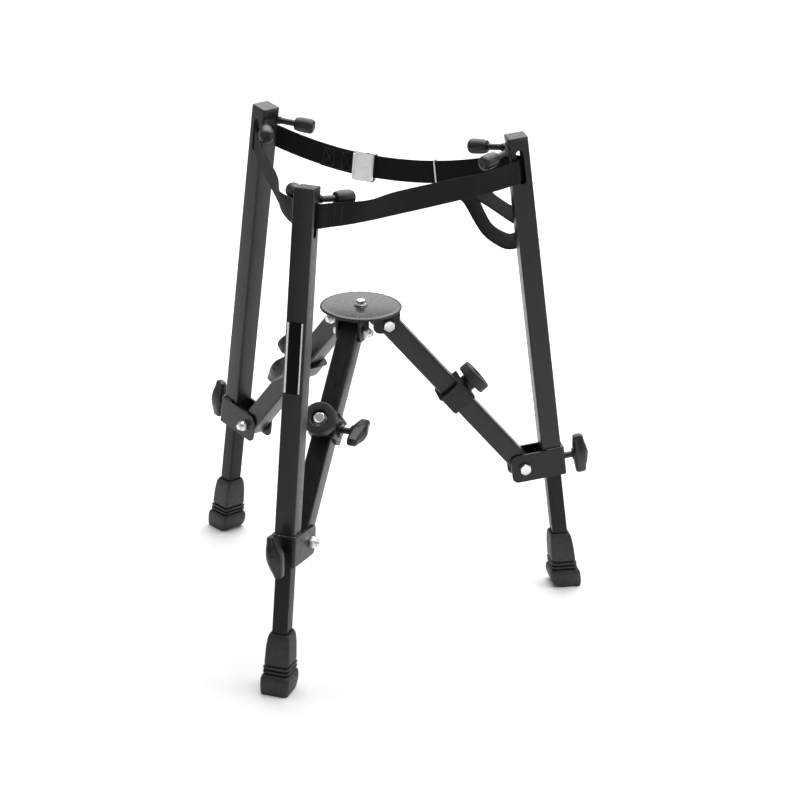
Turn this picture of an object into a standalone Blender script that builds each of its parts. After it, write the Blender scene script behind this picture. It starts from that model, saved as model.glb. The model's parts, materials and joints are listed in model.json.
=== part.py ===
"""A folding tripod stand for a hand drum, in metres, with +Z up.

Three legs carry rubber-tipped prongs and a webbing strap that ring the drum's body. Each leg hangs on
one arm of a central hub, and the drum's lower rim stands on the bumpers of the collars on the arms.
Local frames: a leg's origin is the middle of its top end, +X points outwards, +Y to the right seen
from outside, +Z up the leg. An arm's origin is its hub pivot, and +X runs down the arm.
"""

import math

import bmesh
import bpy
from mathutils import Matrix, Vector

MM = 0.001
GAP = 0.3 * MM  # left between pieces that touch

# Tripod
LEG_TURNS = {"front": -90, "right": 30, "left": 150}  # degrees about +Z, from +X
LEAN = math.radians(8)  # each leg's top leans inwards
STAND_HEIGHT = 601 * MM
FLOOR_RADIUS = 270.7 * MM  # from the hub's axis to a leg's axis, at the floor
TOP_RADIUS = FLOOR_RADIUS - STAND_HEIGHT * math.tan(LEAN)

# Square tubes
TUBE = 25 * MM
TUBE_WALL = 1.8 * MM
TUBE_CORNER = 2.5 * MM
INNER_TUBE = 19.2 * MM
INNER_WALL = 1.5 * MM
CAP_THICK = 2.7 * MM
CAP_PLUG = 14 * MM  # how far the cap's plug goes into the tube

# Belt slots near each leg's top, as distances below the top
SLOT_TOP = 16 * MM
SLOT_LENGTH = 43 * MM
SLOT_WIDTH = 9 * MM

# Bracket: a steel strip folded round the leg, whose two cheeks carry the arm
PIVOT_BELOW_TOP = 431 * MM
PIVOT_INWARD = 37 * MM
BRACKET_HEIGHT = 36.5 * MM
BRACKET_OVERHANG = 17 * MM  # past the pivot
CHEEK_CORNER = 8 * MM
PLATE = 3 * MM
PLATE_BEND = 1 * MM  # inner radius of a fold
CHEEK_GAP = TUBE + 2 * GAP

# Hub
HUB_TOP = 393 * MM
HUB_RADIUS = 50 * MM
HUB_THICK = 3 * MM
HUB_PIVOT_RADIUS = 32 * MM
HUB_PIVOT_DROP = 22 * MM
CLEVIS_WEB = 2.5 * MM
CLEVIS_START = 13 * MM
CLEVIS_END = 46 * MM
CLEVIS_BELOW_PIVOT = 11 * MM
CLEVIS_CORNER = 9 * MM
MIDDLE_BOLT_RADIUS = 3 * MM
MIDDLE_HEX = 10 * MM
MIDDLE_WASHER = 6.4 * MM
WASHER_THICK = 1.4 * MM

# Arms and collars
ARM_OVERHANG = 8 * MM
# Where each collar is clamped, as a share of the way from the hub pivot to the bracket pivot
COLLAR_PLACE = {"front": 0.47, "right": 0.5, "left": 0.42}
COLLAR_LENGTH = 30 * MM
COLLAR_SIZE = 34 * MM
COLLAR_LIP = 36.5 * MM
COLLAR_LIP_LENGTH = 3 * MM
COLLAR_CORNER = 3 * MM
STUD_BOSS_RADIUS = 8 * MM
STUD_BOSS_HEIGHT = 3 * MM
BUMPER_RADIUS = 20.5 * MM
BUMPER_THICK = 13.5 * MM
BUMPER_BOSS = 7 * MM
BUMPER_BOSS_RADIUS = 11 * MM
BUMPER_WELL = 8.5 * MM  # depth of the recess round the bolt's head, and its washer's radius

# Fasteners and knobs
BOLT_RADIUS = 4 * MM
BOLT_HOLE = 4.3 * MM
HEX_ACROSS = 13 * MM
HEX_ROUNDING = 0.4 * MM  # taken off the rim of a head's end
HEAD_THICK = 5.3 * MM
NUT_THICK = 8 * MM
NUT_HEX = 5.5 * MM  # the nut's hexagon; a round collar takes the rest
THREAD_SHOWN = 3 * MM  # past the nut
THREAD_CHAMFER = 0.6 * MM
KNOB_SPAN = 52 * MM
KNOB_DEPTH = 19 * MM
KNOB_END_WIDTH = 9.5 * MM
KNOB_MIDDLE_GAIN = 10.5 * MM  # how much wider the middle is than a wing's end
KNOB_OUTER_FALL = 4.5 * MM  # how far the outer side falls towards a wing's end
KNOB_INNER_RISE = 2.2 * MM
KNOB_END_EASE = 2 * MM
KNOB_NECK_RADIUS = 7 * MM
LEG_STUD_SHOWN = 13 * MM
COLLAR_STUD_SHOWN = 15 * MM
COLLAR_KNOB_TURN = {"front": -40, "right": 0, "left": 0}  # degrees about the stud
LEG_KNOB_TURN = {"front": 15, "right": 0, "left": 0}

# Prongs
PRONG_BELOW_TOP = 16 * MM
PRONG_HALF_ANGLE = math.radians(36)
PRONG_REACH = 64 * MM  # from the leg's axis to a tip's end
ROD_RADIUS = 4 * MM
TIP_RADIUS = 9.3 * MM
TIP_LENGTH = 25 * MM
PRONG_PLATE = (24 * MM, 10 * MM)
PRONG_PLATE_THICK = 2 * MM
ROD_IN_TIP = 8 * MM

# Feet
FOOT_HEIGHT = 73 * MM
FOOT_BASE = 24 * MM  # height of the flared base under the ribs
FOOT_TUBE_TOP = 317 * MM  # height of the sliding tube's upper end

# Webbing
WEB_WIDTH = 29 * MM
WEB_THICK = 1.8 * MM
STRAP_BELOW_TOP = {"front": 33.5 * MM, "right": 41.6 * MM, "left": 41.6 * MM}
SLOT_BEND = 6 * MM  # radius where the strap turns out of a slot
SLOT_PLACE = -3.0 * MM  # the strap lies against the inner edge of its slot
PUSH_PLACE = 0.19  # where along a span a prong's tip pushes it out, as a share of the span
PUSH_LENGTH = 0.12
PUSH_LEAN = 1.2  # how far the pushed strap leans out

# Each span between two legs: how far it sags, and how far a prong's tip pushes it out at each end
SPANS = {
    ("front", "right"): {"sag": 4 * MM, "push": (7 * MM, 4 * MM)},
    ("right", "left"): {"sag": 25 * MM, "push": (0, 0)},
    ("left", "front"): {"sag": 6.5 * MM, "push": (0, 6 * MM)},
}
BACK_SPAN = ("right", "left")
KEEPER_SHARE = 0.315  # of the back span, from the right leg
BUCKLE_SHARE = 0.612
KEEPER_WIRE = 1.1 * MM

# Buckle
BUCKLE_LENGTH = 27 * MM
BUCKLE_WIDTH = 38 * MM
BUCKLE_SHEET = 1.5 * MM
CAM_X = -8.5 * MM
CAM_Y = 4.6 * MM
CAM_RADIUS = 3.2 * MM
PIN_RADIUS = 1.5 * MM
BUCKLE_SIDE = 6.5 * MM  # height of the channel's sides above the strap's middle
BUCKLE_SIDE_AT_PIN = 7.8 * MM
LEVER_STEP = 7 * MM  # from the pin to where the lever's plate widens
LEVER_END = 22.5 * MM
LEVER_LIP = 5 * MM

# The strap's loose tail behind the right leg, in millimetres in that leg's frame: each place that it
# passes, and the direction of its width there
TAIL_ROUTE = (
    ((-86.5, 66.4, -64), (0, 0, -1)),
    ((-74, 60, -66), (-0.1, -0.1, -1)),
    ((-58, 56, -81.5), (-0.59, -0.65, -0.49)),
    ((-51, 53, -99), (-0.7, -0.71, 0.08)),
    ((-46.5, 50.5, -113), (-0.66, -0.75, 0.07)),
    ((-39.5, 47, -129), (-0.62, -0.79, 0)),
    ((-28.5, 43.5, -141), (-0.55, -0.82, -0.16)),
    ((-15, 40, -148.5), (-0.37, -0.87, -0.32)),
    ((-2, 38, -145.5), (-0.15, -0.92, -0.37)),
    ((8, 37, -132), (-0.2, -0.96, -0.2)),
    ((7, 36, -121), (-0.3, -0.95, -0.1)),
    ((-2, 34, -115.5), (-0.48, -0.81, -0.34)),
    ((-12.5, 32.5, -108), (-0.54, -0.84, -0.12)),
    ((-30, 36.5, -92), (-0.53, -0.84, -0.12)),
    ((-44.5, 45, -79), (-0.55, -0.77, -0.32)),
)


# ---------------------------------------------------------------- materials


def material(name, colour, roughness, metallic=0.0):
    made = bpy.data.materials.new(name)
    made.use_nodes = True
    shader = made.node_tree.nodes["Principled BSDF"]
    shader.inputs["Base Color"].default_value = (*colour, 1)
    shader.inputs["Roughness"].default_value = roughness
    shader.inputs["Metallic"].default_value = metallic
    made.diffuse_color = (*colour, 1)
    return made


def make_materials():
    black = (0.02, 0.02, 0.022)
    return {
        "powder_coat": material("powder_coat", black, 0.38),
        "bracket_paint": material("bracket_paint", black, 0.42),
        "hub_paint": material("hub_paint", (0.022, 0.022, 0.024), 0.3),
        "rubber": material("rubber", (0.035, 0.035, 0.038), 0.65),
        "tip_rubber": material("tip_rubber", (0.03, 0.03, 0.032), 0.45),
        "knob_plastic": material("knob_plastic", (0.025, 0.025, 0.027), 0.4),
        "cap_plastic": material("cap_plastic", (0.03, 0.03, 0.032), 0.5),
        "zinc": material("zinc", (0.75, 0.76, 0.78), 0.25, 1.0),
        "bright_steel": material("bright_steel", (0.82, 0.82, 0.8), 0.2, 1.0),
        "webbing": material("webbing", (0.012, 0.012, 0.013), 0.85),
    }


# ---------------------------------------------------------------- mesh helpers


def ngon(bm, points):
    return bm.faces.new([bm.verts.new(p) for p in points])


def circle(radius, count, phase=0.0):
    turn = 2 * math.pi / count
    return [
        (radius * math.cos(turn * i + phase), radius * math.sin(turn * i + phase))
        for i in range(count)
    ]


def hexagon(across):
    """Twelve points on a hexagon: its corners and the middles of its sides."""
    corner = across / math.sqrt(3)
    points = []
    for i in range(12):
        reach = corner if i % 2 == 0 else across / 2
        angle = math.pi / 6 * i
        points.append((reach * math.cos(angle), reach * math.sin(angle)))
    return points


def rounded_rectangle(width, height, radius, steps=2, centre=(0, 0)):
    points = []
    for index, (sx, sy) in enumerate(((1, 1), (-1, 1), (-1, -1), (1, -1))):
        cx = centre[0] + sx * (width / 2 - radius)
        cy = centre[1] + sy * (height / 2 - radius)
        for step in range(steps + 1):
            angle = math.pi / 2 * (index + step / steps)
            points.append((cx + radius * math.cos(angle), cy + radius * math.sin(angle)))
    return points


def obround(length, width, steps=5):
    """A slot's outline, long in the second direction."""
    radius, half = width / 2, (length - width) / 2
    points = []
    for side in (0, 1):
        for step in range(steps + 1):
            angle = math.pi * (side + step / steps)
            middle = half if side == 0 else -half
            points.append((radius * math.cos(angle), middle + radius * math.sin(angle)))
    return points


def loft(rings, closed_ends=True):
    """A closed skin through rings of equally many points."""
    bm = bmesh.new()
    loops = [[bm.verts.new(p) for p in ring] for ring in rings]
    count = len(loops[0])
    for lower, upper in zip(loops, loops[1:]):
        for i in range(count):
            j = (i + 1) % count
            bm.faces.new((lower[i], lower[j], upper[j], upper[i]))
    if closed_ends:
        bm.faces.new(loops[0][::-1])
        bm.faces.new(loops[-1])
    bmesh.ops.recalc_face_normals(bm, faces=bm.faces)
    return bm


def prism(outline, low, high, axis="Z"):
    """An outline pushed along an axis. Along Y the outline lies in X and Z."""
    def place(point, level):
        return {
            "X": (level, point[0], point[1]),
            "Y": (point[0], level, point[1]),
            "Z": (point[0], point[1], level),
        }[axis]

    return loft([[place(p, level) for p in outline] for level in (low, high)])


def hollow_prism(outer, inner, low, high):
    """A tube along Z with open ends. Both outlines have equally many points."""
    bm = bmesh.new()
    loops = []
    for outline in (outer, inner):
        loops.append([[bm.verts.new((*p, z)) for p in outline] for z in (low, high)])
    count = len(outer)
    for i in range(count):
        j = (i + 1) % count
        (out_low, out_high), (in_low, in_high) = loops
        bm.faces.new((out_low[i], out_low[j], out_high[j], out_high[i]))
        bm.faces.new((in_low[j], in_low[i], in_high[i], in_high[j]))
        bm.faces.new((out_high[i], out_high[j], in_high[j], in_high[i]))
        bm.faces.new((out_low[j], out_low[i], in_low[i], in_low[j]))
    bmesh.ops.recalc_face_normals(bm, faces=bm.faces)
    return bm


def square_tube(width, wall, low, high, corner=TUBE_CORNER):
    inside = width - 2 * wall
    return hollow_prism(
        rounded_rectangle(width, width, corner),
        rounded_rectangle(inside, inside, max(corner - wall, 0.5 * MM)),
        low,
        high,
    )


def turned(profile, count):
    """A solid turned about Z, from (radius, height) points."""
    return loft([[(x, y, z) for x, y in circle(radius, count)] for radius, z in profile])


def add(name, bm, parent, finish, matrix=None, smooth=0.0):
    mesh = bpy.data.meshes.new(name)
    bm.to_mesh(mesh)
    bm.free()
    made = bpy.data.objects.new(name, mesh)
    bpy.context.scene.collection.objects.link(made)
    made.parent = parent
    made.matrix_local = matrix or Matrix.Identity(4)
    if finish:
        mesh.materials.append(finish)
    if smooth:
        mesh.shade_smooth()
        mesh.set_sharp_from_angle(angle=math.radians(smooth))
    return made


def combine(target, bm, operation, matrix=None):
    """Cuts a helper solid from a piece, joins it on, or keeps what they share."""
    helper = add(f"{target.name}.{operation.lower()}", bm, target, None, matrix)
    helper.hide_render = True
    helper.display_type = "WIRE"
    modifier = target.modifiers.new(operation.title(), "BOOLEAN")
    modifier.operation = operation
    modifier.object = helper
    return helper


def empty(name, parent, matrix):
    made = bpy.data.objects.new(name, None)
    bpy.context.scene.collection.objects.link(made)
    made.empty_display_size = 0.02
    made.parent = parent
    made.matrix_local = matrix
    return made


# ---------------------------------------------------------------- fasteners and knobs


def at_height(outline, z):
    return [(x, y, z) for x, y in outline]


def clevis_bolt(name, parent, finish, place):
    """A hexagon bolt along Y through two cheeks, with its locking nut on."""
    cheek = CHEEK_GAP / 2 + PLATE + GAP
    head_end = cheek + HEAD_THICK
    nut_end = cheek + NUT_THICK
    shank = circle(BOLT_RADIUS, 12)
    hex_ring = hexagon(HEX_ACROSS)
    collar_ring = circle(HEX_ACROSS / 2 - 2 * HEX_ROUNDING, 12)
    rings = [
        at_height(circle(HEX_ACROSS / 2 - HEX_ROUNDING, 12), -head_end),
        at_height(hex_ring, -head_end + 1 * MM),
        at_height(hex_ring, -cheek),
        at_height(shank, -cheek),
        at_height(shank, cheek),
        at_height(hex_ring, cheek),
        at_height(hex_ring, cheek + NUT_HEX),
        at_height(collar_ring, cheek + NUT_HEX + 0.5 * MM),
        at_height(collar_ring, nut_end),
        at_height(shank, nut_end),
        at_height(circle(BOLT_RADIUS - THREAD_CHAMFER, 12), nut_end + THREAD_SHOWN),
    ]
    along_y = Matrix.Rotation(math.radians(-90), 4, "X")
    return add(name, loft(rings), parent, finish, place @ along_y, smooth=35)


def knob_rings():
    """Cross-sections of the winged head, from one wing's end to the other."""
    rings = []
    stations = (-1, -0.96, -0.8, -0.5, -0.25, 0, 0.25, 0.5, 0.8, 0.96, 1)
    for s in stations:
        middle = math.cos(s * math.pi / 2)
        width = KNOB_END_WIDTH + KNOB_MIDDLE_GAIN * middle**1.6
        outside = KNOB_DEPTH - (1 - middle) * KNOB_OUTER_FALL
        inside = (1 - middle) * KNOB_INNER_RISE
        if abs(s) == 1:
            width -= 2 * KNOB_END_EASE
            outside -= KNOB_END_EASE
            inside += KNOB_END_EASE
        depth = outside - inside
        section = rounded_rectangle(depth, width, min(width, depth) * 0.3, 2)
        middle_depth = (outside + inside) / 2
        rings.append([(x + middle_depth, s * KNOB_SPAN / 2, y) for x, y in section])
    return rings


def wing_knob(name, parent, finish, stud_length):
    """A winged knob whose stud runs inwards along -X; its head starts at the origin."""
    head = add(name, loft(knob_rings()), parent, finish, smooth=40)
    neck_low, neck_high = -1 * MM, 3 * MM
    neck = [(KNOB_NECK_RADIUS, neck_high), (KNOB_NECK_RADIUS, neck_low), (BOLT_RADIUS, neck_low)]
    neck += [(BOLT_RADIUS, 0.8 * MM - stud_length), (BOLT_RADIUS - 0.8 * MM, -stud_length)]
    along_x = Matrix.Rotation(math.radians(90), 4, "Y")
    combine(head, turned(neck, 12), "UNION", along_x)
    return head


# ---------------------------------------------------------------- legs


def leg_pieces(side, leg, paint):
    down_to = -(PIVOT_BELOW_TOP + BRACKET_HEIGHT / 2)
    tube = add(
        f"leg_tube_{side}",
        square_tube(TUBE, TUBE_WALL, down_to, -CAP_THICK - GAP),
        leg,
        paint["powder_coat"],
        smooth=40,
    )
    slot = prism(obround(SLOT_LENGTH, SLOT_WIDTH), -TUBE, TUBE, "Y")
    slot_middle = -(SLOT_TOP + SLOT_LENGTH / 2)
    combine(tube, slot, "DIFFERENCE", Matrix.Translation((0, 0, slot_middle)))
    stud_place = Matrix.Translation((0, 0, -PIVOT_BELOW_TOP))
    stud_hole = prism(circle(BOLT_HOLE, 12), 0.2 * TUBE, TUBE, "X")
    combine(tube, stud_hole, "DIFFERENCE", stud_place)

    plug = TUBE - 2 * TUBE_WALL - 2 * GAP
    cap_levels = (
        (-CAP_PLUG, plug, 1 * MM),
        (-CAP_THICK, plug, 1 * MM),
        (-CAP_THICK, TUBE, TUBE_CORNER),
        (-1 * MM, TUBE, TUBE_CORNER),
        (0, TUBE - 2.4 * MM, TUBE_CORNER - 0.5 * MM),
    )
    cap = loft([at_height(rounded_rectangle(w, w, r), z) for z, w, r in cap_levels])
    add(f"leg_cap_{side}", cap, leg, paint["cap_plastic"], smooth=30)
    bracket(side, leg, paint)
    prongs(side, leg, paint)


def bracket(side, leg, paint):
    """The folded strip round the leg. Its inner corners are rounded."""
    inner_end = -(PIVOT_INWARD + BRACKET_OVERHANG)
    half = CHEEK_GAP / 2
    back = TUBE / 2 + GAP
    fold = PLATE + PLATE_BEND
    outline = [(inner_end, -half - PLATE)]
    for angle in (-90, -45, 0):
        turn = math.radians(angle)
        corner = (back - PLATE_BEND, -half + PLATE_BEND)
        outline.append((corner[0] + fold * math.cos(turn), corner[1] + fold * math.sin(turn)))
    outline += [(x, -y) for x, y in outline[::-1]]
    outline += [(inner_end, half), (back, half), (back, -half), (inner_end, -half)]
    strip = add(
        f"leg_bracket_{side}",
        prism(outline, -BRACKET_HEIGHT / 2, BRACKET_HEIGHT / 2),
        leg,
        paint["bracket_paint"],
        Matrix.Translation((0, 0, -PIVOT_BELOW_TOP)),
        smooth=30,
    )
    rounding = rounded_rectangle(2 * abs(inner_end), BRACKET_HEIGHT, CHEEK_CORNER, 4)
    combine(strip, prism(rounding, -TUBE, TUBE, "Y"), "INTERSECT")
    pivot = prism(circle(BOLT_HOLE, 12), -TUBE, TUBE, "Y")
    combine(strip, pivot, "DIFFERENCE", Matrix.Translation((-PIVOT_INWARD, 0, 0)))
    combine(strip, prism(circle(BOLT_HOLE, 12), 0, TUBE, "X"), "DIFFERENCE")
    place = Matrix.Translation((-PIVOT_INWARD, 0, -PIVOT_BELOW_TOP))
    clevis_bolt(f"bracket_bolt_{side}", leg, paint["zinc"], place)


def prongs(side, leg, paint):
    """Two rods joined by a plate on the leg's inner face, each with a rubber tip."""
    face = -TUBE / 2 - GAP
    plate = prism(rounded_rectangle(*PRONG_PLATE, 2 * MM), face - PRONG_PLATE_THICK, face, "X")
    plate_place = Matrix.Translation((0, 0, -PRONG_BELOW_TOP))
    rods = add(f"prong_rods_{side}", plate, leg, paint["powder_coat"], plate_place, smooth=40)
    for label, sign in (("a", 1), ("b", -1)):
        heading = Vector((-math.cos(PRONG_HALF_ANGLE), sign * math.sin(PRONG_HALF_ANGLE), 0))
        turn = heading.to_track_quat("Z", "Y").to_matrix().to_4x4()
        start = (TUBE / 2 + GAP + PRONG_PLATE_THICK / 2) / math.cos(PRONG_HALF_ANGLE)
        rod_end = PRONG_REACH - TIP_LENGTH + ROD_IN_TIP
        rod = turned([(ROD_RADIUS, start), (ROD_RADIUS, rod_end)], 10)
        combine(rods, rod, "UNION", turn)
        bore = ROD_RADIUS + GAP
        back = PRONG_REACH - TIP_LENGTH
        profile = [
            (bore, rod_end + GAP),
            (bore, back),
            (TIP_RADIUS - 2 * MM, back),
            (TIP_RADIUS - 1 * MM, back + 2 * MM),
            (TIP_RADIUS, back + 9 * MM),
            (TIP_RADIUS, PRONG_REACH - 5 * MM),
            (TIP_RADIUS * 0.85, PRONG_REACH - 1.8 * MM),
            (TIP_RADIUS * 0.5, PRONG_REACH),
        ]
        tip = turned(profile, 16)
        add(f"prong_tip_{label}_{side}", tip, leg, paint["tip_rubber"], plate_place @ turn, 35)


# ---------------------------------------------------------------- sliding feet


def foot_ring(z, inner, outer, width, corner):
    """A level ring of the boot. Inner and outer are distances from the leg's axis."""
    shape = rounded_rectangle(outer + inner, width, corner, 2, ((outer - inner) / 2, 0))
    drift = -z * math.tan(LEAN)
    return [(x + drift, y, z) for x, y in shape]


def rubber_foot(side, foot, paint):
    """A tapered boot with two thin ribs, on a flared base whose heel curves up."""
    heel_top = 0.65 * FOOT_BASE
    heel_rise, toe_rise, side_rise = 8.5 * MM, 1.5 * MM, 3 * MM
    base_inner, base_outer, base_width = 19.5 * MM, 20 * MM, 36.5 * MM
    rings = []
    for step in range(5):
        share = step / 4
        lift = (1 - share) ** 2
        inner, outer = base_inner - heel_rise * lift, base_outer - toe_rise * lift
        rings.append((heel_top * share**1.6, inner, outer, base_width - side_rise * lift))
    rings.append((FOOT_BASE, 17 * MM, 17.5 * MM, 33 * MM))
    rib, groove, shoulder = 16.6 * MM, 13.4 * MM, 15.6 * MM
    pitch, groove_height, slant = 4.8 * MM, 2 * MM, 0.4 * MM
    level = FOOT_BASE + GAP
    for _ in range(2):
        rib_low, rib_high = level + groove_height + slant, level + pitch - slant
        rings += [(level, groove, groove, 2 * groove)]
        rings += [(level + groove_height, groove, groove, 2 * groove)]
        rings += [(rib_low, rib, rib, 2 * rib), (rib_high, rib, rib, 2 * rib)]
        level += pitch
    rings += [(level, groove, groove, 2 * groove)]
    rings += [(level + groove_height, groove, groove, 2 * groove)]
    level += groove_height + slant
    boot = (
        (level, shoulder),
        (level + 4 * MM, shoulder),
        (FOOT_HEIGHT - 5 * MM, 13.6 * MM),
        (FOOT_HEIGHT - 1.5 * MM, 12.6 * MM),
        (FOOT_HEIGHT, 11.4 * MM),
    )
    for z, half in boot:
        rings.append((z, half, half, 2 * half))
    solid = loft([foot_ring(z, i, o, w, 3.5 * MM) for z, i, o, w in rings])
    upright = Matrix.Rotation(LEAN, 4, "Y")
    boot = add(f"rubber_foot_{side}", solid, foot, paint["rubber"], upright, smooth=30)
    socket = INNER_TUBE + 2 * GAP
    hole = prism(rounded_rectangle(socket, socket, 2.3 * MM), 12 * MM, 90 * MM)
    combine(boot, hole, "DIFFERENCE", Matrix.Rotation(-LEAN, 4, "Y"))


def foot_pieces(side, foot, paint):
    """The sliding tube and its boot. The frame's origin is the leg axis at the floor."""
    along = 1 / math.cos(LEAN)
    tube = square_tube(INNER_TUBE, INNER_WALL, 13 * MM, FOOT_TUBE_TOP * along, 2 * MM)
    add(f"foot_tube_{side}", tube, foot, paint["powder_coat"], smooth=40)
    rubber_foot(side, foot, paint)


# ---------------------------------------------------------------- arms


def arm_length():
    reach = leg_point(-PIVOT_INWARD, -PIVOT_BELOW_TOP) - hub_pivot()
    return reach.length


def hub_pivot():
    return Vector((HUB_PIVOT_RADIUS, 0, HUB_TOP - HUB_PIVOT_DROP))


def leg_point(x, z):
    """A point of the leg's own frame, in the frame whose X is that leg's direction."""
    top = Vector((TOP_RADIUS, 0, STAND_HEIGHT))
    return top + Matrix.Rotation(-LEAN, 3, "Y") @ Vector((x, 0, z))


def arm_tube(side, arm, paint):
    length = arm_length()
    along_x = Matrix.Rotation(math.radians(90), 4, "Y")
    tube = add(
        f"arm_tube_{side}",
        square_tube(TUBE, TUBE_WALL, -ARM_OVERHANG, length + ARM_OVERHANG),
        arm,
        paint["powder_coat"],
        along_x,
        smooth=40,
    )
    for place in (0, length):
        hole = prism(circle(BOLT_HOLE, 12), -TUBE, TUBE, "Y")
        combine(tube, hole, "DIFFERENCE", Matrix.Translation((0, 0, place)))


def collar_pieces(side, collar, paint):
    """The sliding collar with its bumper on the outer side. +Z is the arm's outer side."""
    along_x = Matrix.Rotation(math.radians(90), 4, "Y")
    half = COLLAR_LENGTH / 2
    bore = TUBE + 2 * GAP
    levels = (
        (-half, COLLAR_LIP, COLLAR_CORNER),
        (-half + COLLAR_LIP_LENGTH, COLLAR_LIP, COLLAR_CORNER),
        (-half + COLLAR_LIP_LENGTH, COLLAR_SIZE, COLLAR_CORNER),
        (half, COLLAR_SIZE, COLLAR_CORNER),
    )
    rings = [at_height(rounded_rectangle(w, w, r), z) for z, w, r in levels]
    inside = [at_height(rounded_rectangle(bore, bore, 1.5 * MM), z) for z in (half, -half)]
    bm = loft(rings + inside, closed_ends=False)
    first, last = rings[0], inside[1]
    for i in range(len(first)):
        j = (i + 1) % len(first)
        ngon(bm, (first[j], first[i], last[i], last[j]))
    bmesh.ops.remove_doubles(bm, verts=bm.verts, dist=1e-6)
    bmesh.ops.recalc_face_normals(bm, faces=bm.faces)
    sleeve = add(f"collar_{side}", bm, collar, paint["bracket_paint"], along_x, smooth=30)
    top = COLLAR_SIZE / 2
    to_sleeve = along_x.inverted()
    boss_top = top + BUMPER_BOSS - GAP
    boss = turned([(BUMPER_BOSS_RADIUS, top - 1 * MM), (BUMPER_BOSS_RADIUS, boss_top)], 16)
    combine(sleeve, boss, "UNION", to_sleeve)
    stud_ring = circle(STUD_BOSS_RADIUS, 12)
    stud_boss = prism(stud_ring, top - 1 * MM, top + STUD_BOSS_HEIGHT, "Y")
    combine(sleeve, stud_boss, "UNION", to_sleeve)
    stud_hole = prism(circle(BOLT_HOLE, 12), TUBE / 3, TUBE, "Y")
    combine(sleeve, stud_hole, "DIFFERENCE", to_sleeve)
    bolt_hole = turned([(BOLT_HOLE, bore / 2 - 2 * MM), (BOLT_HOLE, boss_top + 2 * MM)], 12)
    combine(sleeve, bolt_hole, "DIFFERENCE", to_sleeve)

    low = top + BUMPER_BOSS
    high = low + BUMPER_THICK
    well = high - BUMPER_WELL
    profile = [
        (BOLT_HOLE, well),
        (BOLT_HOLE, low),
        (BUMPER_RADIUS - 2 * MM, low),
        (BUMPER_RADIUS, low + 1.6 * MM),
        (BUMPER_RADIUS, high - 2 * MM),
        (BUMPER_RADIUS - 2 * MM, high),
        (11.5 * MM, high),
        (10 * MM, high - 1 * MM),
        (9.2 * MM, well),
    ]
    bm = loft([at_height(circle(r, 28), z) for r, z in profile], closed_ends=False)
    bmesh.ops.bridge_loops(bm, edges=[e for e in bm.edges if e.is_boundary])
    bmesh.ops.recalc_face_normals(bm, faces=bm.faces)
    add(f"bumper_{side}", bm, collar, paint["rubber"], smooth=35)

    head_low = well + GAP
    bolt = [
        (BOLT_RADIUS, TUBE / 2 + 2 * GAP),
        (BOLT_RADIUS, head_low),
        (BUMPER_WELL, head_low),
        (BUMPER_WELL, head_low + WASHER_THICK),
    ]
    rings = [at_height(circle(r, 12), z) for r, z in bolt]
    head_top = head_low + WASHER_THICK + HEAD_THICK
    rings.append(at_height(hexagon(HEX_ACROSS), head_low + WASHER_THICK))
    rings.append(at_height(hexagon(HEX_ACROSS), head_top - 1 * MM))
    rings.append(at_height(circle(HEX_ACROSS / 2 - HEX_ROUNDING, 12), head_top))
    add(f"bumper_bolt_{side}", loft(rings), collar, paint["zinc"], smooth=35)


# ---------------------------------------------------------------- hub


def hub_pieces(hub, turns, paint):
    top = HUB_TOP
    low = top - HUB_THICK
    profile = [
        (HUB_RADIUS - 1 * MM, low),
        (HUB_RADIUS, low + 0.7 * MM),
        (HUB_RADIUS - 0.3 * MM, top - 1.5 * MM),
        (HUB_RADIUS - 1.5 * MM, top - 0.5 * MM),
        (HUB_RADIUS - 3.5 * MM, top),
    ]
    plate = add("hub_plate", turned(profile, 48), hub, paint["hub_paint"], smooth=30)
    radius = MIDDLE_BOLT_RADIUS
    hole = turned([(radius + GAP, low - 5 * MM), (radius + GAP, top + 5 * MM)], 12)
    combine(plate, hole, "DIFFERENCE")

    over, under = top + GAP, low - GAP
    nut_low = under - 5.5 * MM
    end = nut_low - THREAD_SHOWN
    head_low = over + WASHER_THICK
    head_top = head_low + HEAD_THICK
    hex_ring = hexagon(MIDDLE_HEX)
    rings = [
        at_height(circle(radius - THREAD_CHAMFER, 12), end - THREAD_CHAMFER),
        at_height(circle(radius, 12), end),
        at_height(circle(radius, 12), nut_low),
        at_height(hex_ring, nut_low),
        at_height(hex_ring, under),
        at_height(circle(radius, 12), under),
        at_height(circle(radius, 12), over),
        at_height(circle(MIDDLE_WASHER, 12), over),
        at_height(circle(MIDDLE_WASHER, 12), head_low),
        at_height(hex_ring, head_low),
        at_height(hex_ring, head_top - 1 * MM),
        at_height(circle(MIDDLE_HEX / 2 - HEX_ROUNDING, 12), head_top),
    ]
    add("centre_bolt", loft(rings), hub, paint["zinc"], smooth=35)
    for side, turn in turns.items():
        clevis(side, hub, turn, paint)


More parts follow.
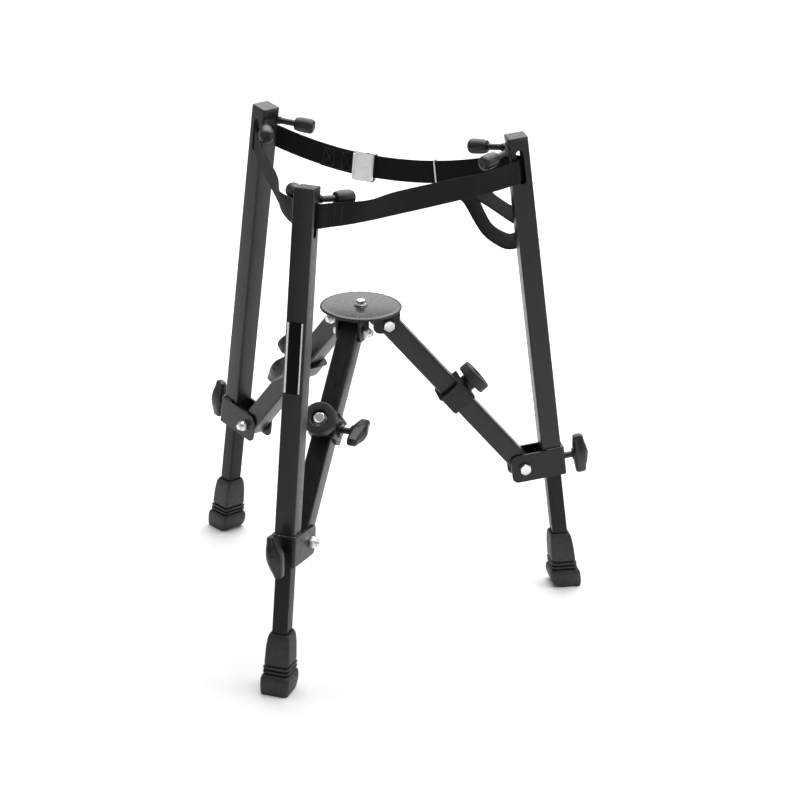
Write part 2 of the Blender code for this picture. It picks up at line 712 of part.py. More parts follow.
def clevis(side, hub, turn, paint):
    """A channel under the hub plate. Its lower corners are rounded."""
    web_top = HUB_TOP - HUB_THICK - GAP
    half = CHEEK_GAP / 2
    depth = HUB_PIVOT_DROP - HUB_THICK - GAP + CLEVIS_BELOW_PIVOT
    bend = 1 * MM
    web = -CLEVIS_WEB
    outline = [(-half - PLATE, -depth), (-half, -depth), (-half, web), (half, web)]
    outline += [(half, -depth), (half + PLATE, -depth), (half + PLATE, -bend)]
    outline += [(half + PLATE - bend, 0), (-half - PLATE + bend, 0), (-half - PLATE, -bend)]
    place = turn @ Matrix.Translation((0, 0, web_top))
    channel = add(
        f"hub_clevis_{side}",
        prism(outline, CLEVIS_START, CLEVIS_END, "X"),
        hub,
        paint["bracket_paint"],
        place,
        smooth=30,
    )
    length = CLEVIS_END - CLEVIS_START
    rounding = rounded_rectangle(length, 2 * depth, CLEVIS_CORNER, 4)
    middle = Matrix.Translation(((CLEVIS_START + CLEVIS_END) / 2, 0, 0))
    combine(channel, prism(rounding, -TUBE, TUBE, "Y"), "INTERSECT", middle)
    drop = HUB_PIVOT_DROP - HUB_THICK - GAP
    hole_place = Matrix.Translation((HUB_PIVOT_RADIUS, 0, -drop))
    combine(channel, prism(circle(BOLT_HOLE, 12), -TUBE, TUBE, "Y"), "DIFFERENCE", hole_place)
    bolt_place = turn @ Matrix.Translation(hub_pivot())
    clevis_bolt(f"hub_bolt_{side}", hub, paint["zinc"], bolt_place)


# ---------------------------------------------------------------- webbing


def band(path, thickness=WEB_THICK, width=WEB_WIDTH):
    """A flat band along (point, width direction) pairs."""
    rings = []
    for i, (point, across) in enumerate(path):
        before = path[max(i - 1, 0)][0]
        after = path[min(i + 1, len(path) - 1)][0]
        heading = (after - before).normalized()
        across = (across - heading * across.dot(heading)).normalized()
        normal = heading.cross(across)
        ring = []
        for w, n in ((1, 1), (-1, 1), (-1, -1), (1, -1)):
            ring.append(point + across * (w * width / 2) + normal * (n * thickness / 2))
        rings.append(ring)
    return loft(rings)


def slot_exit(side, sign, turns):
    """Where the strap has left a leg's slot and turned towards the next leg."""
    place = turns[side] @ leg_matrix()
    start = TUBE / 2 - 0.5 * MM
    points = []
    for step in range(4):
        angle = math.radians(20 * step)
        x = SLOT_PLACE - SLOT_BEND * (1 - math.cos(angle))
        y = sign * (start + SLOT_BEND * math.sin(angle))
        points.append(place @ Vector((x, y, -STRAP_BELOW_TOP[side])))
    return points


def leg_matrix():
    top = Matrix.Translation((TOP_RADIUS, 0, STAND_HEIGHT))
    return top @ Matrix.Rotation(-LEAN, 4, "Y")


def span_ends(first, second, turns):
    """Where the straight part of a span starts and ends."""
    return slot_exit(first, 1, turns)[-1], slot_exit(second, -1, turns)[-1]


def half_span(side, sign, turns):
    """From a leg's slot to halfway to the next leg, as (point, width direction) pairs."""
    order = list(LEG_TURNS)
    other = order[(order.index(side) + sign) % 3]
    pair = (side, other) if sign > 0 else (other, side)
    sag = SPANS[pair]["sag"]
    push = SPANS[pair]["push"][0 if sign > 0 else 1]
    leaving = slot_exit(side, sign, turns)
    start, end = leaving[-1], slot_exit(other, -sign, turns)[-1]
    chord = end - start
    outward = Vector((start.x + end.x, start.y + end.y, 0)).normalized()
    leg_up = (turns[side] @ leg_matrix()).to_3x3() @ Vector((0, 0, 1))
    upright = Vector((0, 0, 1))
    path = [(p, leg_up) for p in leaving]
    steps = 12
    for i in range(1, steps + 1):
        u = 0.5 * i / steps
        if i == steps:
            u -= GAP / chord.length
        bulge = push * math.exp(-(((u - PUSH_PLACE) / PUSH_LENGTH) ** 2))
        drop = sag * 4 * u * (1 - u)
        point = start + chord * u + outward * bulge * min(1, u / 0.08) - upright * drop
        lean = leg_up.lerp(upright, min(1, 2.5 * u)) + outward * (PUSH_LEAN * bulge / WEB_WIDTH)
        path.append((point, lean.normalized()))
    return path


def strap_path(side, turns):
    """One leg's share of the strap: half a span, the passage through the slots, half a span."""
    return half_span(side, -1, turns)[::-1] + half_span(side, 1, turns)


def on_back_span(share, turns):
    """A frame on the back span: X along the strap to the left leg, Y inwards, Z across it."""
    start, end = span_ends(*BACK_SPAN, turns)
    sag = SPANS[BACK_SPAN]["sag"]
    upright = Vector((0, 0, 1))
    point = start + (end - start) * share - upright * (sag * 4 * share * (1 - share))
    along = (end - start - upright * (sag * 4 * (1 - 2 * share))).normalized()
    inward = upright.cross(along).normalized()
    across = along.cross(inward)
    return Matrix.Translation(point) @ Matrix((along, inward, across)).transposed().to_4x4()


def smooth_route(route, steps=3):
    """A Catmull-Rom curve through (place, width direction) pairs given in millimetres."""
    places = [(Vector(place) * MM, Vector(width)) for place, width in route]
    padded = [places[0]] + places + [places[-1]]
    path = []
    for before, start, end, after in zip(padded, padded[1:], padded[2:], padded[3:]):
        for step in range(steps):
            u = step / steps
            mixed = []
            for a, b, c, d in zip(before, start, end, after):
                bend = (2 * a - 5 * b + 4 * c - d) * u**2 + (3 * (b - c) + d - a) * u**3
                mixed.append(0.5 * (2 * b + (c - a) * u + bend))
            path.append((mixed[0], mixed[1].normalized()))
    path.append(places[-1])
    return path


def strap_tail(parent, finish):
    """The tail in the right leg's frame: from under the keeper, down behind the leg and back up."""
    add("strap_tail", band(smooth_route(TAIL_ROUTE)), parent, finish, smooth=40)


def strap_keeper(stand, finish, turns):
    """A wire loop that holds the tail against the strap's outer side."""
    inner, outer = WEB_THICK / 2 + 0.5 * MM, 1.5 * WEB_THICK + 3 * GAP
    depth = inner + outer + 2 * KEEPER_WIRE
    height = WEB_WIDTH + 1.2 * MM + 2 * KEEPER_WIRE
    outline = rounded_rectangle(depth, height, 2.4 * MM, 3, ((inner - outer) / 2, 0))
    count = len(outline)
    rings = []
    for i, (y, z) in enumerate(outline):
        before, after = outline[i - 1], outline[(i + 1) % count]
        heading = Vector((0, after[0] - before[0], after[1] - before[1])).normalized()
        outward = Vector((0, heading.z, -heading.y))
        ring = []
        for x, reach in circle(KEEPER_WIRE, 8):
            ring.append(Vector((x, y, z)) + outward * reach)
        rings.append(ring)
    wire = loft(rings, closed_ends=False)
    bmesh.ops.bridge_loops(wire, edges=[e for e in wire.edges if e.is_boundary])
    bmesh.ops.recalc_face_normals(wire, faces=wire.faces)
    add("strap_keeper", wire, stand, finish, on_back_span(KEEPER_SHARE, turns), smooth=60)


# ---------------------------------------------------------------- buckle


def buckle_pieces(stand, finish, turns):
    """A channel behind the strap, and a cam lever over it that turns between the channel's sides."""
    place = on_back_span(BUCKLE_SHARE, turns)
    half_length, half_width = BUCKLE_LENGTH / 2, BUCKLE_WIDTH / 2
    floor_top = -WEB_THICK / 2 - GAP
    floor_low = floor_top - BUCKLE_SHEET
    side_low, side_high = BUCKLE_SIDE, BUCKLE_SIDE_AT_PIN
    side = [
        (-half_length, floor_low),
        (half_length, floor_low),
        (half_length, side_low - 2 * MM),
        (half_length - 2 * MM, side_low),
        (-4.5 * MM, side_low),
        (-6.5 * MM, side_high),
        (-half_length + 2 * MM, side_high),
        (-half_length, side_high - 2 * MM),
    ]
    frame = add("buckle_frame", prism(side, -half_width, half_width), stand, finish, place, 30)
    inside = half_width - BUCKLE_SHEET
    room = rounded_rectangle(2 * BUCKLE_LENGTH, 20 * MM, 1 * MM, 1, (0, floor_top + 10 * MM))
    combine(frame, prism(room, -inside, inside), "DIFFERENCE")
    cam_place = Matrix.Translation((CAM_X, CAM_Y, 0))
    pin_hole = prism(circle(PIN_RADIUS + GAP, 12), -BUCKLE_WIDTH, BUCKLE_WIDTH)
    combine(frame, pin_hole, "DIFFERENCE", cam_place)

    hinge = empty("buckle_lever_axis", stand, place @ cam_place)
    plate_low = side_low + 0.5 * MM - CAM_Y
    plate_high = plate_low + BUCKLE_SHEET
    narrow = inside - GAP
    heel = -2 * MM
    outline = [
        (heel, -narrow),
        (LEVER_STEP, -narrow),
        (LEVER_STEP, -half_width),
        (LEVER_END, -half_width),
        (LEVER_END, half_width),
        (LEVER_STEP, half_width),
        (LEVER_STEP, narrow),
        (heel, narrow),
    ]
    lever = add("buckle_lever", prism(outline, plate_low, plate_high, "Y"), hinge, finish, smooth=30)
    combine(lever, prism(circle(CAM_RADIUS, 16), -narrow, narrow), "UNION")
    pin = prism(circle(PIN_RADIUS, 12), -half_width - 0.6 * MM, half_width + 0.6 * MM)
    combine(lever, pin, "UNION")
    lip_middle = (LEVER_END - BUCKLE_SHEET / 2, plate_low + LEVER_LIP / 2)
    lip = rounded_rectangle(BUCKLE_SHEET, LEVER_LIP, 0.6 * MM, 2, lip_middle)
    combine(lever, prism(lip, -half_width + 3 * MM, half_width - 3 * MM), "UNION")


# ---------------------------------------------------------------- the stand


def arm_slope():
    """How far an arm dips outwards below level."""
    reach = leg_point(-PIVOT_INWARD, -PIVOT_BELOW_TOP) - hub_pivot()
    return math.atan2(-reach.z, reach.x)


def arm_group(side, stand, turn, paint):
    """An arm with its collar, bumper and collar knob."""
    pitch = Matrix.Rotation(arm_slope(), 4, "Y")
    arm = empty(f"arm_{side}", stand, turn @ Matrix.Translation(hub_pivot()) @ pitch)
    arm_tube(side, arm, paint)
    along = COLLAR_PLACE[side] * arm_length()
    collar = empty(f"collar_slide_{side}", arm, Matrix.Translation((along, 0, 0)))
    collar_pieces(side, collar, paint)
    knob_start = COLLAR_SIZE / 2 + COLLAR_STUD_SHOWN
    sideways = Matrix.Rotation(math.radians(90), 4, "Z")
    about_stud = Matrix.Rotation(math.radians(COLLAR_KNOB_TURN[side]), 4, "X")
    place = Matrix.Translation((0, knob_start, 0)) @ sideways @ about_stud
    knob = empty(f"collar_knob_axis_{side}", collar, place)
    stud = knob_start - TUBE / 2 - GAP
    wing_knob(f"collar_knob_{side}", knob, paint["knob_plastic"], stud)


def leg_group(side, stand, turn, paint):
    """A leg with its bracket, prongs, leg knob and sliding foot."""
    leg = empty(f"leg_{side}", stand, turn @ leg_matrix())
    leg_pieces(side, leg, paint)
    knob_start = TUBE / 2 + GAP + PLATE + LEG_STUD_SHOWN
    upright = Matrix.Rotation(math.radians(90 + LEG_KNOB_TURN[side]), 4, "X")
    place = Matrix.Translation((knob_start, 0, -PIVOT_BELOW_TOP)) @ upright
    knob = empty(f"leg_knob_axis_{side}", leg, place)
    stud = knob_start - INNER_TUBE / 2 - GAP
    wing_knob(f"leg_knob_{side}", knob, paint["knob_plastic"], stud)

    foot_place = Matrix.Translation((FLOOR_RADIUS, 0, 0)) @ Matrix.Rotation(-LEAN, 4, "Y")
    foot = empty(f"foot_{side}", stand, turn @ foot_place)
    foot_pieces(side, foot, paint)
    return leg


def stand_on_origin(stand):
    """Moves the stand so that the middle of its box's underside is at the origin."""
    bpy.context.view_layer.update()
    graph = bpy.context.evaluated_depsgraph_get()
    low, high = Vector((1, 1, 1)), Vector((-1, -1, -1))
    for piece in stand.children_recursive:
        if piece.type != "MESH" or piece.hide_render:
            continue
        shown = piece.evaluated_get(graph)
        for vertex in shown.data.vertices:
            point = shown.matrix_world @ vertex.co
            low = Vector(map(min, low, point))
            high = Vector(map(max, high, point))
    stand.location -= Vector(((low.x + high.x) / 2, (low.y + high.y) / 2, low.z))


def main():
    for old in list(bpy.data.objects):
        bpy.data.objects.remove(old)
    paint = make_materials()
    stand = empty("stand", None, Matrix.Identity(4))
    turns = {s: Matrix.Rotation(math.radians(a), 4, "Z") for s, a in LEG_TURNS.items()}
    hub_pieces(stand, turns, paint)
    legs = {}
    for side, turn in turns.items():
        arm_group(side, stand, turn, paint)
        legs[side] = leg_group(side, stand, turn, paint)
        strap = band(strap_path(side, turns))
        add(f"strap_{side}", strap, stand, paint["webbing"], smooth=40)
    strap_tail(legs["right"], paint["webbing"])
    strap_keeper(stand, paint["bright_steel"], turns)
    buckle_pieces(stand, paint["bright_steel"], turns)
    stand_on_origin(stand)


main()
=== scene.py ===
import json
import math

import bmesh
import bpy
from mathutils import Matrix, Vector, noise

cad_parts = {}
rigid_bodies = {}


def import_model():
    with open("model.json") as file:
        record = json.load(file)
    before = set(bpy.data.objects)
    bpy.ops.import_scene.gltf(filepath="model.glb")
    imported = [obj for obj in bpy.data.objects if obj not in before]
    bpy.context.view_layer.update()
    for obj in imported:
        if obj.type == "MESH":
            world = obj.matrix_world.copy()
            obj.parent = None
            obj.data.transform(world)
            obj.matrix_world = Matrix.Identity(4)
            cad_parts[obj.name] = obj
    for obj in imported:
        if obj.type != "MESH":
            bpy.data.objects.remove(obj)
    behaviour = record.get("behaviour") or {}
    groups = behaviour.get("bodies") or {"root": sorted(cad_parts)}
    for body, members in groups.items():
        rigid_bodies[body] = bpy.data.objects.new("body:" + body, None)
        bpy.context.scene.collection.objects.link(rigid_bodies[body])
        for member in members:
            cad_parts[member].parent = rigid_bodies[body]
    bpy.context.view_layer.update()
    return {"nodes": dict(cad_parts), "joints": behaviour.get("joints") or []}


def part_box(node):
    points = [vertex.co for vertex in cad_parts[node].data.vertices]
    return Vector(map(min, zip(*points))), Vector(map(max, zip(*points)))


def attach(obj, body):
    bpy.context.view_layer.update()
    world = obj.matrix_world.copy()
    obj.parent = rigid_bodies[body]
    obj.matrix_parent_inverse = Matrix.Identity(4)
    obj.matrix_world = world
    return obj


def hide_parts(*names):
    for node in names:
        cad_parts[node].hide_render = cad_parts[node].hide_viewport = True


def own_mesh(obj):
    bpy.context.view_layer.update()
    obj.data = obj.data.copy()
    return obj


# The looks of a folding tripod stand for a hand drum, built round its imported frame, in metres.
# A leg's frame has its origin at the middle of its top end, +X outwards, +Y to the right seen from
# outside and +Z up the leg. An arm's frame has its origin at its hub pivot, +X down the arm and +Z on
# its outer side.

for old in list(bpy.data.objects):
    bpy.data.objects.remove(old)

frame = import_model()

MM = 0.001
SIDES = ("front", "right", "left")
UP = Vector((0, 0, 1))
HERE = Matrix.Identity(4)

# Sizes shared with the frame
PIVOT_BELOW_TOP = 431 * MM
PIVOT_INWARD = 37 * MM
TUBE = 25 * MM
TUBE_WALL = 1.8 * MM
INNER_TUBE = 19.2 * MM
SLOT_TOP, SLOT_LENGTH, SLOT_WIDTH = 16 * MM, 43 * MM, 9 * MM
CAP_THICK = 2.7 * MM
BRACKET_HEIGHT, BRACKET_OVERHANG = 36.5 * MM, 17 * MM
PLATE = 3 * MM
GAP = 0.3 * MM
CHEEK_GAP = TUBE + 2 * GAP
LEG_STUD, COLLAR_STUD = 13 * MM, 15 * MM
HEX_ACROSS, BOLT_RADIUS, THREAD_DEPTH = 13 * MM, 4 * MM, 0.55 * MM
MIDDLE_HEX, MIDDLE_BOLT_RADIUS, MIDDLE_WASHER = 10 * MM, 3 * MM, 6.4 * MM
LEG_KNOB_TURN = {"front": 15, "right": 0, "left": 0}  # degrees about the stud
COLLAR_KNOB_TURN = {"front": -40, "right": 0, "left": 0}
KNOB_SPAN, KNOB_DEPTH = 52 * MM, 19 * MM
PRONG_BELOW_TOP, PRONG_REACH, PRONG_HALF_ANGLE = 16 * MM, 64 * MM, math.radians(36)
ROD_RADIUS, TIP_RADIUS, TIP_LENGTH = 4 * MM, 9.3 * MM, 25 * MM
COLLAR_LENGTH, COLLAR_SIZE, COLLAR_LIP = 30 * MM, 34 * MM, 36.5 * MM
BUMPER_RADIUS, BUMPER_THICK, BUMPER_BOSS = 20.5 * MM, 13.5 * MM, 7 * MM
FOOT_BASE, FOOT_HEIGHT = 24 * MM, 73 * MM
HUB_RADIUS, HUB_THICK = 50 * MM, 3 * MM
HUB_PIVOT_RADIUS, HUB_PIVOT_DROP = 32 * MM, 22 * MM
CLEVIS_START, CLEVIS_END, CLEVIS_WEB = 13 * MM, 46 * MM, 2.5 * MM

# Webbing
WEB_WIDTH, WEB_THICK = 29 * MM, 1.8 * MM
STRAP_BELOW_TOP = {"front": 33.5 * MM, "right": 41.6 * MM, "left": 41.6 * MM}
SLOT_BEND, SLOT_PLACE = 6 * MM, -3.0 * MM
SPANS = {
    ("front", "right"): {"sag": 4 * MM, "push": (7 * MM, 4 * MM)},
    ("right", "left"): {"sag": 25 * MM, "push": (0, 0)},
    ("left", "front"): {"sag": 6.5 * MM, "push": (0, 6 * MM)},
}

# ---------------- places from the frame

joints = {joint["name"]: joint for joint in frame["joints"]}


def point_of(joint):
    return Vector(joints[joint]["pos_m"])


def axis_of(joint):
    return Vector(joints[joint]["axis"]).normalized()


def placed(origin, x, z):
    """A frame from its origin and two of its directions."""
    y = z.cross(x)
    return Matrix.Translation(origin) @ Matrix((x, y, z)).transposed().to_4x4()


def leg_frame(side):
    pivot = point_of("front_arm_hinge" if side == "front" else f"{side}_leg_hinge")
    outward = axis_of(f"{side}_leg_knob_turn")
    up = -axis_of(f"{side}_foot_slide")
    return placed(pivot + outward * PIVOT_INWARD + up * PIVOT_BELOW_TOP, outward, up)


def arm_frame(side):
    pivot = point_of("hub_hinge" if side == "front" else f"{side}_arm_hinge")
    down = axis_of(f"{side}_collar_slide")
    across = legs[side].to_3x3().col[1]
    return placed(pivot, down, down.cross(across))


def square_to(heading, across):
    """A direction turned square to a heading."""
    return (across - heading * across.dot(heading)).normalized()


def shift(x=0.0, y=0.0, z=0.0):
    return Matrix.Translation((x, y, z))


def spin(degrees, axis):
    return Matrix.Rotation(math.radians(degrees), 4, axis)


legs = {side: leg_frame(side) for side in SIDES}
arms = {side: arm_frame(side) for side in SIDES}
hub_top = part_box("hub_plate")[1].z
hub_middle = (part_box("hub_plate")[0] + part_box("hub_plate")[1]) / 2
hub_middle.z = 0

# ---------------- materials


def add_node(tree, kind, inputs=None, **settings):
    made = tree.nodes.new(kind)
    for key, value in settings.items():
        setattr(made, key, value)
    for key, value in (inputs or {}).items():
        if isinstance(value, bpy.types.NodeSocket):
            tree.links.new(value, made.inputs[key])
        else:
            made.inputs[key].default_value = value
    return made


class Finish:
    """A Principled material with helpers for its procedural detail."""

    def __init__(self, name, roughness, metallic=0.0, sheen=0.0, specular=0.5):
        self.material = bpy.data.materials.new(name)
        self.material.use_nodes = True
        self.tree = self.material.node_tree
        self.shader = self.tree.nodes["Principled BSDF"]
        looks = {"Roughness": roughness, "Metallic": metallic, "Specular IOR Level": specular}
        looks |= {"Sheen Weight": sheen, "Sheen Roughness": 0.5}
        for socket, value in looks.items():
            self.shader.inputs[socket].default_value = value
        self.where = add_node(self.tree, "ShaderNodeTexCoord").outputs["Object"]

    def done(self, colour, roughness=None, normal=None):
        for output, socket in ((colour, "Base Color"), (roughness, "Roughness"), (normal, "Normal")):
            if output is not None:
                self.tree.links.new(output, self.shader.inputs[socket])
        return self.material

    def stretched(self, scale):
        """Object coordinates scaled by direction."""
        return add_node(self.tree, "ShaderNodeMapping", {"Vector": self.where, "Scale": scale}).outputs[0]

    def noise(self, scale, detail=3.0, rough=0.55, where=None):
        inputs = {"Vector": where or self.where, "Scale": scale, "Detail": detail, "Roughness": rough}
        return add_node(self.tree, "ShaderNodeTexNoise", inputs).outputs["Fac"]

    def cells(self, scale):
        inputs = {"Vector": self.where, "Scale": scale}
        return add_node(self.tree, "ShaderNodeTexVoronoi", inputs).outputs["Distance"]

    def math(self, operation, a, b=0.0):
        return add_node(self.tree, "ShaderNodeMath", {0: a, 1: b}, operation=operation).outputs[0]

    def times(self, a, b):
        return self.math("MULTIPLY", a, b)

    def between(self, value, low, high, start=0.0, end=1.0):
        """The value's range from low to high, spread over start to end."""
        inputs = {"Value": value, "From Min": low, "From Max": high, "To Min": start, "To Max": end}
        return add_node(self.tree, "ShaderNodeMapRange", inputs).outputs[0]

    def mix(self, share, first, second):
        made = add_node(self.tree, "ShaderNodeMix", data_type="RGBA")
        for socket, value in ((0, share), (6, first), (7, second)):
            if isinstance(value, bpy.types.NodeSocket):
                self.tree.links.new(value, made.inputs[socket])
            else:
                made.inputs[socket].default_value = (*value, 1) if socket else value
        return made.outputs[2]

    def bump(self, height, distance, strength=1.0, under=None):
        inputs = {"Height": height, "Distance": distance, "Strength": strength}
        if under is not None:
            inputs["Normal"] = under
        return add_node(self.tree, "ShaderNodeBump", inputs).outputs[0]


def painted_steel(name, dark, light, roughness, peel, specular=0.5):
    """Black powder coat or paint: a fine orange peel, a slow change of gloss, dust and small rubs."""
    made = Finish(name, roughness, specular=specular)
    patches = made.math("ADD", made.noise(14, 3), made.times(made.noise(230, 4, 0.7), 0.8))
    clouds = made.mix(made.between(patches, 0.65, 1.15), dark, light)
    specks = made.between(made.noise(1900, 2, 0.7), 0.66, 0.74)
    speckled = made.mix(made.times(specks, 0.35), clouds, (0.05, 0.05, 0.053))
    rubs = made.between(made.noise(60, 5, 0.75, made.stretched((1, 1, 0.16))), 0.66, 0.78)
    coloured = made.mix(made.times(rubs, 0.25), speckled, (0.035, 0.035, 0.038))
    uneven = made.noise(240, 4, 0.7, made.stretched((1, 1, 0.35)))
    gloss = made.between(uneven, 0.3, 0.7, roughness - 0.09, roughness + 0.10)
    gloss = made.math("ADD", gloss, made.times(rubs, 0.12))
    fine = made.bump(made.noise(950, 2, 0.5), peel)
    return made.done(coloured, gloss, made.bump(made.noise(140, 2, 0.5), peel * 1.6, 0.6, fine))


def moulded(name, dark, light, roughness, grain, grain_scale, dust):
    """Moulded rubber or plastic: a fine grain, with patches of pale dust."""
    made = Finish(name, roughness)
    clouds = made.mix(made.between(made.noise(45, 4), 0.3, 0.72), dark, light)
    dusty = made.between(made.noise(300, 5, 0.8), 0.48, 0.72)
    coloured = made.mix(made.times(dusty, dust), clouds, (0.06, 0.06, 0.062))
    gloss = made.between(made.noise(260, 4, 0.7), 0.3, 0.7, roughness - 0.12, roughness + 0.12)
    pits = made.bump(made.cells(grain_scale), grain)
    return made.done(coloured, gloss, made.bump(made.noise(grain_scale * 0.4, 3), grain * 1.5, 0.7, pits))


def plated(name, colour, tint, roughness, brushing):
    """Zinc or nickel plate: faint clouds of tint, tarnish and fine drawing lines."""
    made = Finish(name, roughness, metallic=1.0)
    clouds = made.mix(made.between(made.noise(160, 4), 0.3, 0.7), colour, tint)
    spots = made.between(made.noise(700, 5, 0.75), 0.62, 0.76)
    coloured = made.mix(made.times(spots, 0.5), clouds, (0.32, 0.31, 0.29))
    lines = made.noise(brushing, 2, 0.6, made.stretched((0.06, 1, 1)))
    gloss = made.between(lines, 0.3, 0.7, roughness - 0.06, roughness + 0.1)
    gloss = made.math("ADD", gloss, made.times(spots, 0.2))
    return made.done(coloured, gloss, made.bump(lines, 0.00002, 0.6))


def woven(name, dark, light, along_pitch, across_pitch):
    """Webbing: warp columns that pass over and under the weft, half a pitch out of step, with painted shade in
    the hollows between the threads.
    """
    made = Finish(name, 0.82, sheen=0.02, specular=0.22)
    uv = add_node(made.tree, "ShaderNodeUVMap", uv_map="weave").outputs[0]
    split = add_node(made.tree, "ShaderNodeSeparateXYZ", {0: uv})
    along, across = split.outputs[0], split.outputs[1]
    column = made.math("DIVIDE", across, across_pitch)
    step = made.times(made.math("FLOOR", column), 0.5)
    turns = made.math("ADD", made.math("DIVIDE", along, along_pitch), step)
    over = made.between(made.math("SINE", made.times(turns, 2 * math.pi)), -1, 1)
    ridge = made.math("SINE", made.times(made.math("FRACT", column), math.pi))
    height = made.times(over, ridge)
    fuzz = made.noise(2600, 3, 0.7)
    # Painted shade: the raised threads are coloured lighter and the hollows between them darker, more strongly
    # in some patches than in others.
    shade_patchiness = made.noise(30, 3)
    lit = made.times(height, made.between(shade_patchiness, 0.3, 0.7, 0.45, 1.0))
    weave_with_painted_shade = made.mix(lit, dark, light)
    lint = made.between(made.noise(900, 4, 0.8), 0.68, 0.76)
    coloured = made.mix(made.times(lint, 0.3), weave_with_painted_shade, (0.05, 0.05, 0.049))
    gloss = made.between(fuzz, 0.3, 0.7, 0.74, 0.92)
    return made.done(coloured, gloss, made.bump(fuzz, 0.00008, 0.8, made.bump(height, 0.00028)))


def plain(name, dark, light, roughness, specular=0.5):
    """A thin printed film or a thread: nearly even, with a little variation."""
    made = Finish(name, roughness, specular=specular)
    coloured = made.mix(made.between(made.noise(300, 4), 0.35, 0.7), dark, light)
    gloss = made.between(made.noise(80, 3), 0.3, 0.7, roughness - 0.05, roughness + 0.06)
    return made.done(coloured, gloss, made.bump(made.noise(1200, 2), 0.00002))


# Each finish: its kind, dark and light colours, roughness, depth of its grain, and what else its kind takes
FINISHES = {
    "powder_coat": (painted_steel, (0.0030, 0.0030, 0.0034), (0.0060, 0.0060, 0.0066), 0.34, 0.00004),
    "bracket_paint": (painted_steel, (0.0034, 0.0034, 0.0036), (0.0070, 0.0070, 0.0074), 0.32, 0.00009, 0.38),
    "slider_paint": (painted_steel, (0.0024, 0.0024, 0.0026), (0.0048, 0.0048, 0.0052), 0.4, 0.00004, 0.25),
    "hub_paint": (painted_steel, (0.0050, 0.0050, 0.0054), (0.0090, 0.0090, 0.0098), 0.22, 0.00002),
    "rubber": (moulded, (0.0070, 0.0072, 0.0080), (0.0140, 0.0143, 0.0153), 0.54, 0.00012, 1500, 0.38),
    "tip_rubber": (moulded, (0.0080, 0.0080, 0.0085), (0.0140, 0.0140, 0.0148), 0.40, 0.00003, 1800, 0.10),
    "knob_plastic": (moulded, (0.0070, 0.0070, 0.0075), (0.0120, 0.0120, 0.0127), 0.36, 0.00004, 1600, 0.08),
    "cap_plastic": (moulded, (0.0080, 0.0080, 0.0085), (0.0140, 0.0140, 0.0148), 0.45, 0.00006, 1400, 0.10),
    "zinc": (plated, (0.86, 0.87, 0.89), (0.76, 0.78, 0.83), 0.36, 900),
    "bright_steel": (plated, (0.86, 0.86, 0.85), (0.78, 0.79, 0.80), 0.30, 1600),
    "webbing": (woven, (0.0020, 0.0020, 0.0021), (0.0120, 0.0120, 0.0125), 1.7 * MM, 1.05 * MM),
    "weld": (painted_steel, (0.004, 0.004, 0.004), (0.010, 0.010, 0.010), 0.2, 0.0002, 0.8),
    "thread": (plain, (0.03, 0.03, 0.032), (0.06, 0.06, 0.062), 0.7),
    "label_film": (plain, (0.0015, 0.0015, 0.0025), (0.0030, 0.0030, 0.0045), 0.3, 0.12),
    "label_white": (plain, (0.90, 0.90, 0.90), (0.94, 0.94, 0.94), 0.35),
    "nylon": (plain, (0.55, 0.56, 0.58), (0.66, 0.67, 0.68), 0.45),
}
finishes = {name: kind(name, *values) for name, (kind, *values) in FINISHES.items()}

# ---------------- mesh helpers


def arc(x, y, radius, first, last, steps):
    """Points round a centre, from one angle to another in degrees."""
    angles = [math.radians(first + (last - first) * step / steps) for step in range(steps + 1)]
    return [(x + radius * math.cos(angle), y + radius * math.sin(angle)) for angle in angles]


def rounded_rectangle(width, height, radius, steps=6, centre=(0, 0)):
    points = []
    for index, (sx, sy) in enumerate(((1, 1), (-1, 1), (-1, -1), (1, -1))):
        cx = centre[0] + sx * (width / 2 - radius)
        cy = centre[1] + sy * (height / 2 - radius)
        points += arc(cx, cy, radius, 90 * index, 90 * index + 90, steps)
    return points


def circle(radius, count=48):
    return arc(0, 0, radius, 0, 360, count)[:-1]


def hexagon(across, limit, count=72):
    """A hexagon whose corners are turned down to a circle."""
    points = []
    for i in range(count):
        angle = 2 * math.pi * i / count
        reach = min(limit, across / 2 / math.cos((angle + math.pi / 6) % (math.pi / 3) - math.pi / 6))
        points.append((reach * math.cos(angle), reach * math.sin(angle)))
    return points


def at_height(outline, z):
    return [(x, y, z) for x, y in outline]


def hex_rings(across, levels):
    """Rings of a turned-down hexagon, from (limit radius, height) pairs."""
    return [at_height(hexagon(across, limit), z) for limit, z in levels]


def square_rings(levels):
    """Rings of a rounded square, from (height, width, corner radius) rows."""
    return [at_height(rounded_rectangle(width, width, radius), z) for z, width, radius in levels]


def in_mm(*rows):
    return [tuple(value * MM for value in row) for row in rows]


def levels_from(base, *rows):
    """Pairs of a reach and a height, from rows that give the height over a base in millimetres."""
    return [(reach, base + rise * MM) for reach, rise in rows]


def square_levels(base, size, *rows):
    """Rows for square_rings, from millimetres over a base, beyond a size, and of corner radius."""
    return [(base + rise * MM, size + more * MM, corner * MM) for rise, more, corner in rows]


def loft(rings, closed_loop=False):
    bm = bmesh.new()
    loops = [[bm.verts.new(p) for p in ring] for ring in rings]
    count = len(loops[0])
    following = loops[1:] + (loops[:1] if closed_loop else [])
    for lower, upper in zip(loops, following):
        for i in range(count):
            j = (i + 1) % count
            bm.faces.new((lower[i], lower[j], upper[j], upper[i]))
    if not closed_loop:
        bm.faces.new(loops[0][::-1])
        bm.faces.new(loops[-1])
    bmesh.ops.recalc_face_normals(bm, faces=bm.faces)
    return bm


def prism(outline, low, high, axis="Z"):
    """An outline pushed along an axis. Along Y the outline lies in X and Z."""
    at = "XYZ".index(axis)
    return loft([[(*point[:at], level, *point[at:]) for point in outline] for level in (low, high)])


def turned(profile, count=48, closed=False):
    """A solid turned about Z from (radius, height) points."""
    rings = [at_height(circle(radius, count), z) for radius, z in profile]
    return loft(rings, closed_loop=closed)


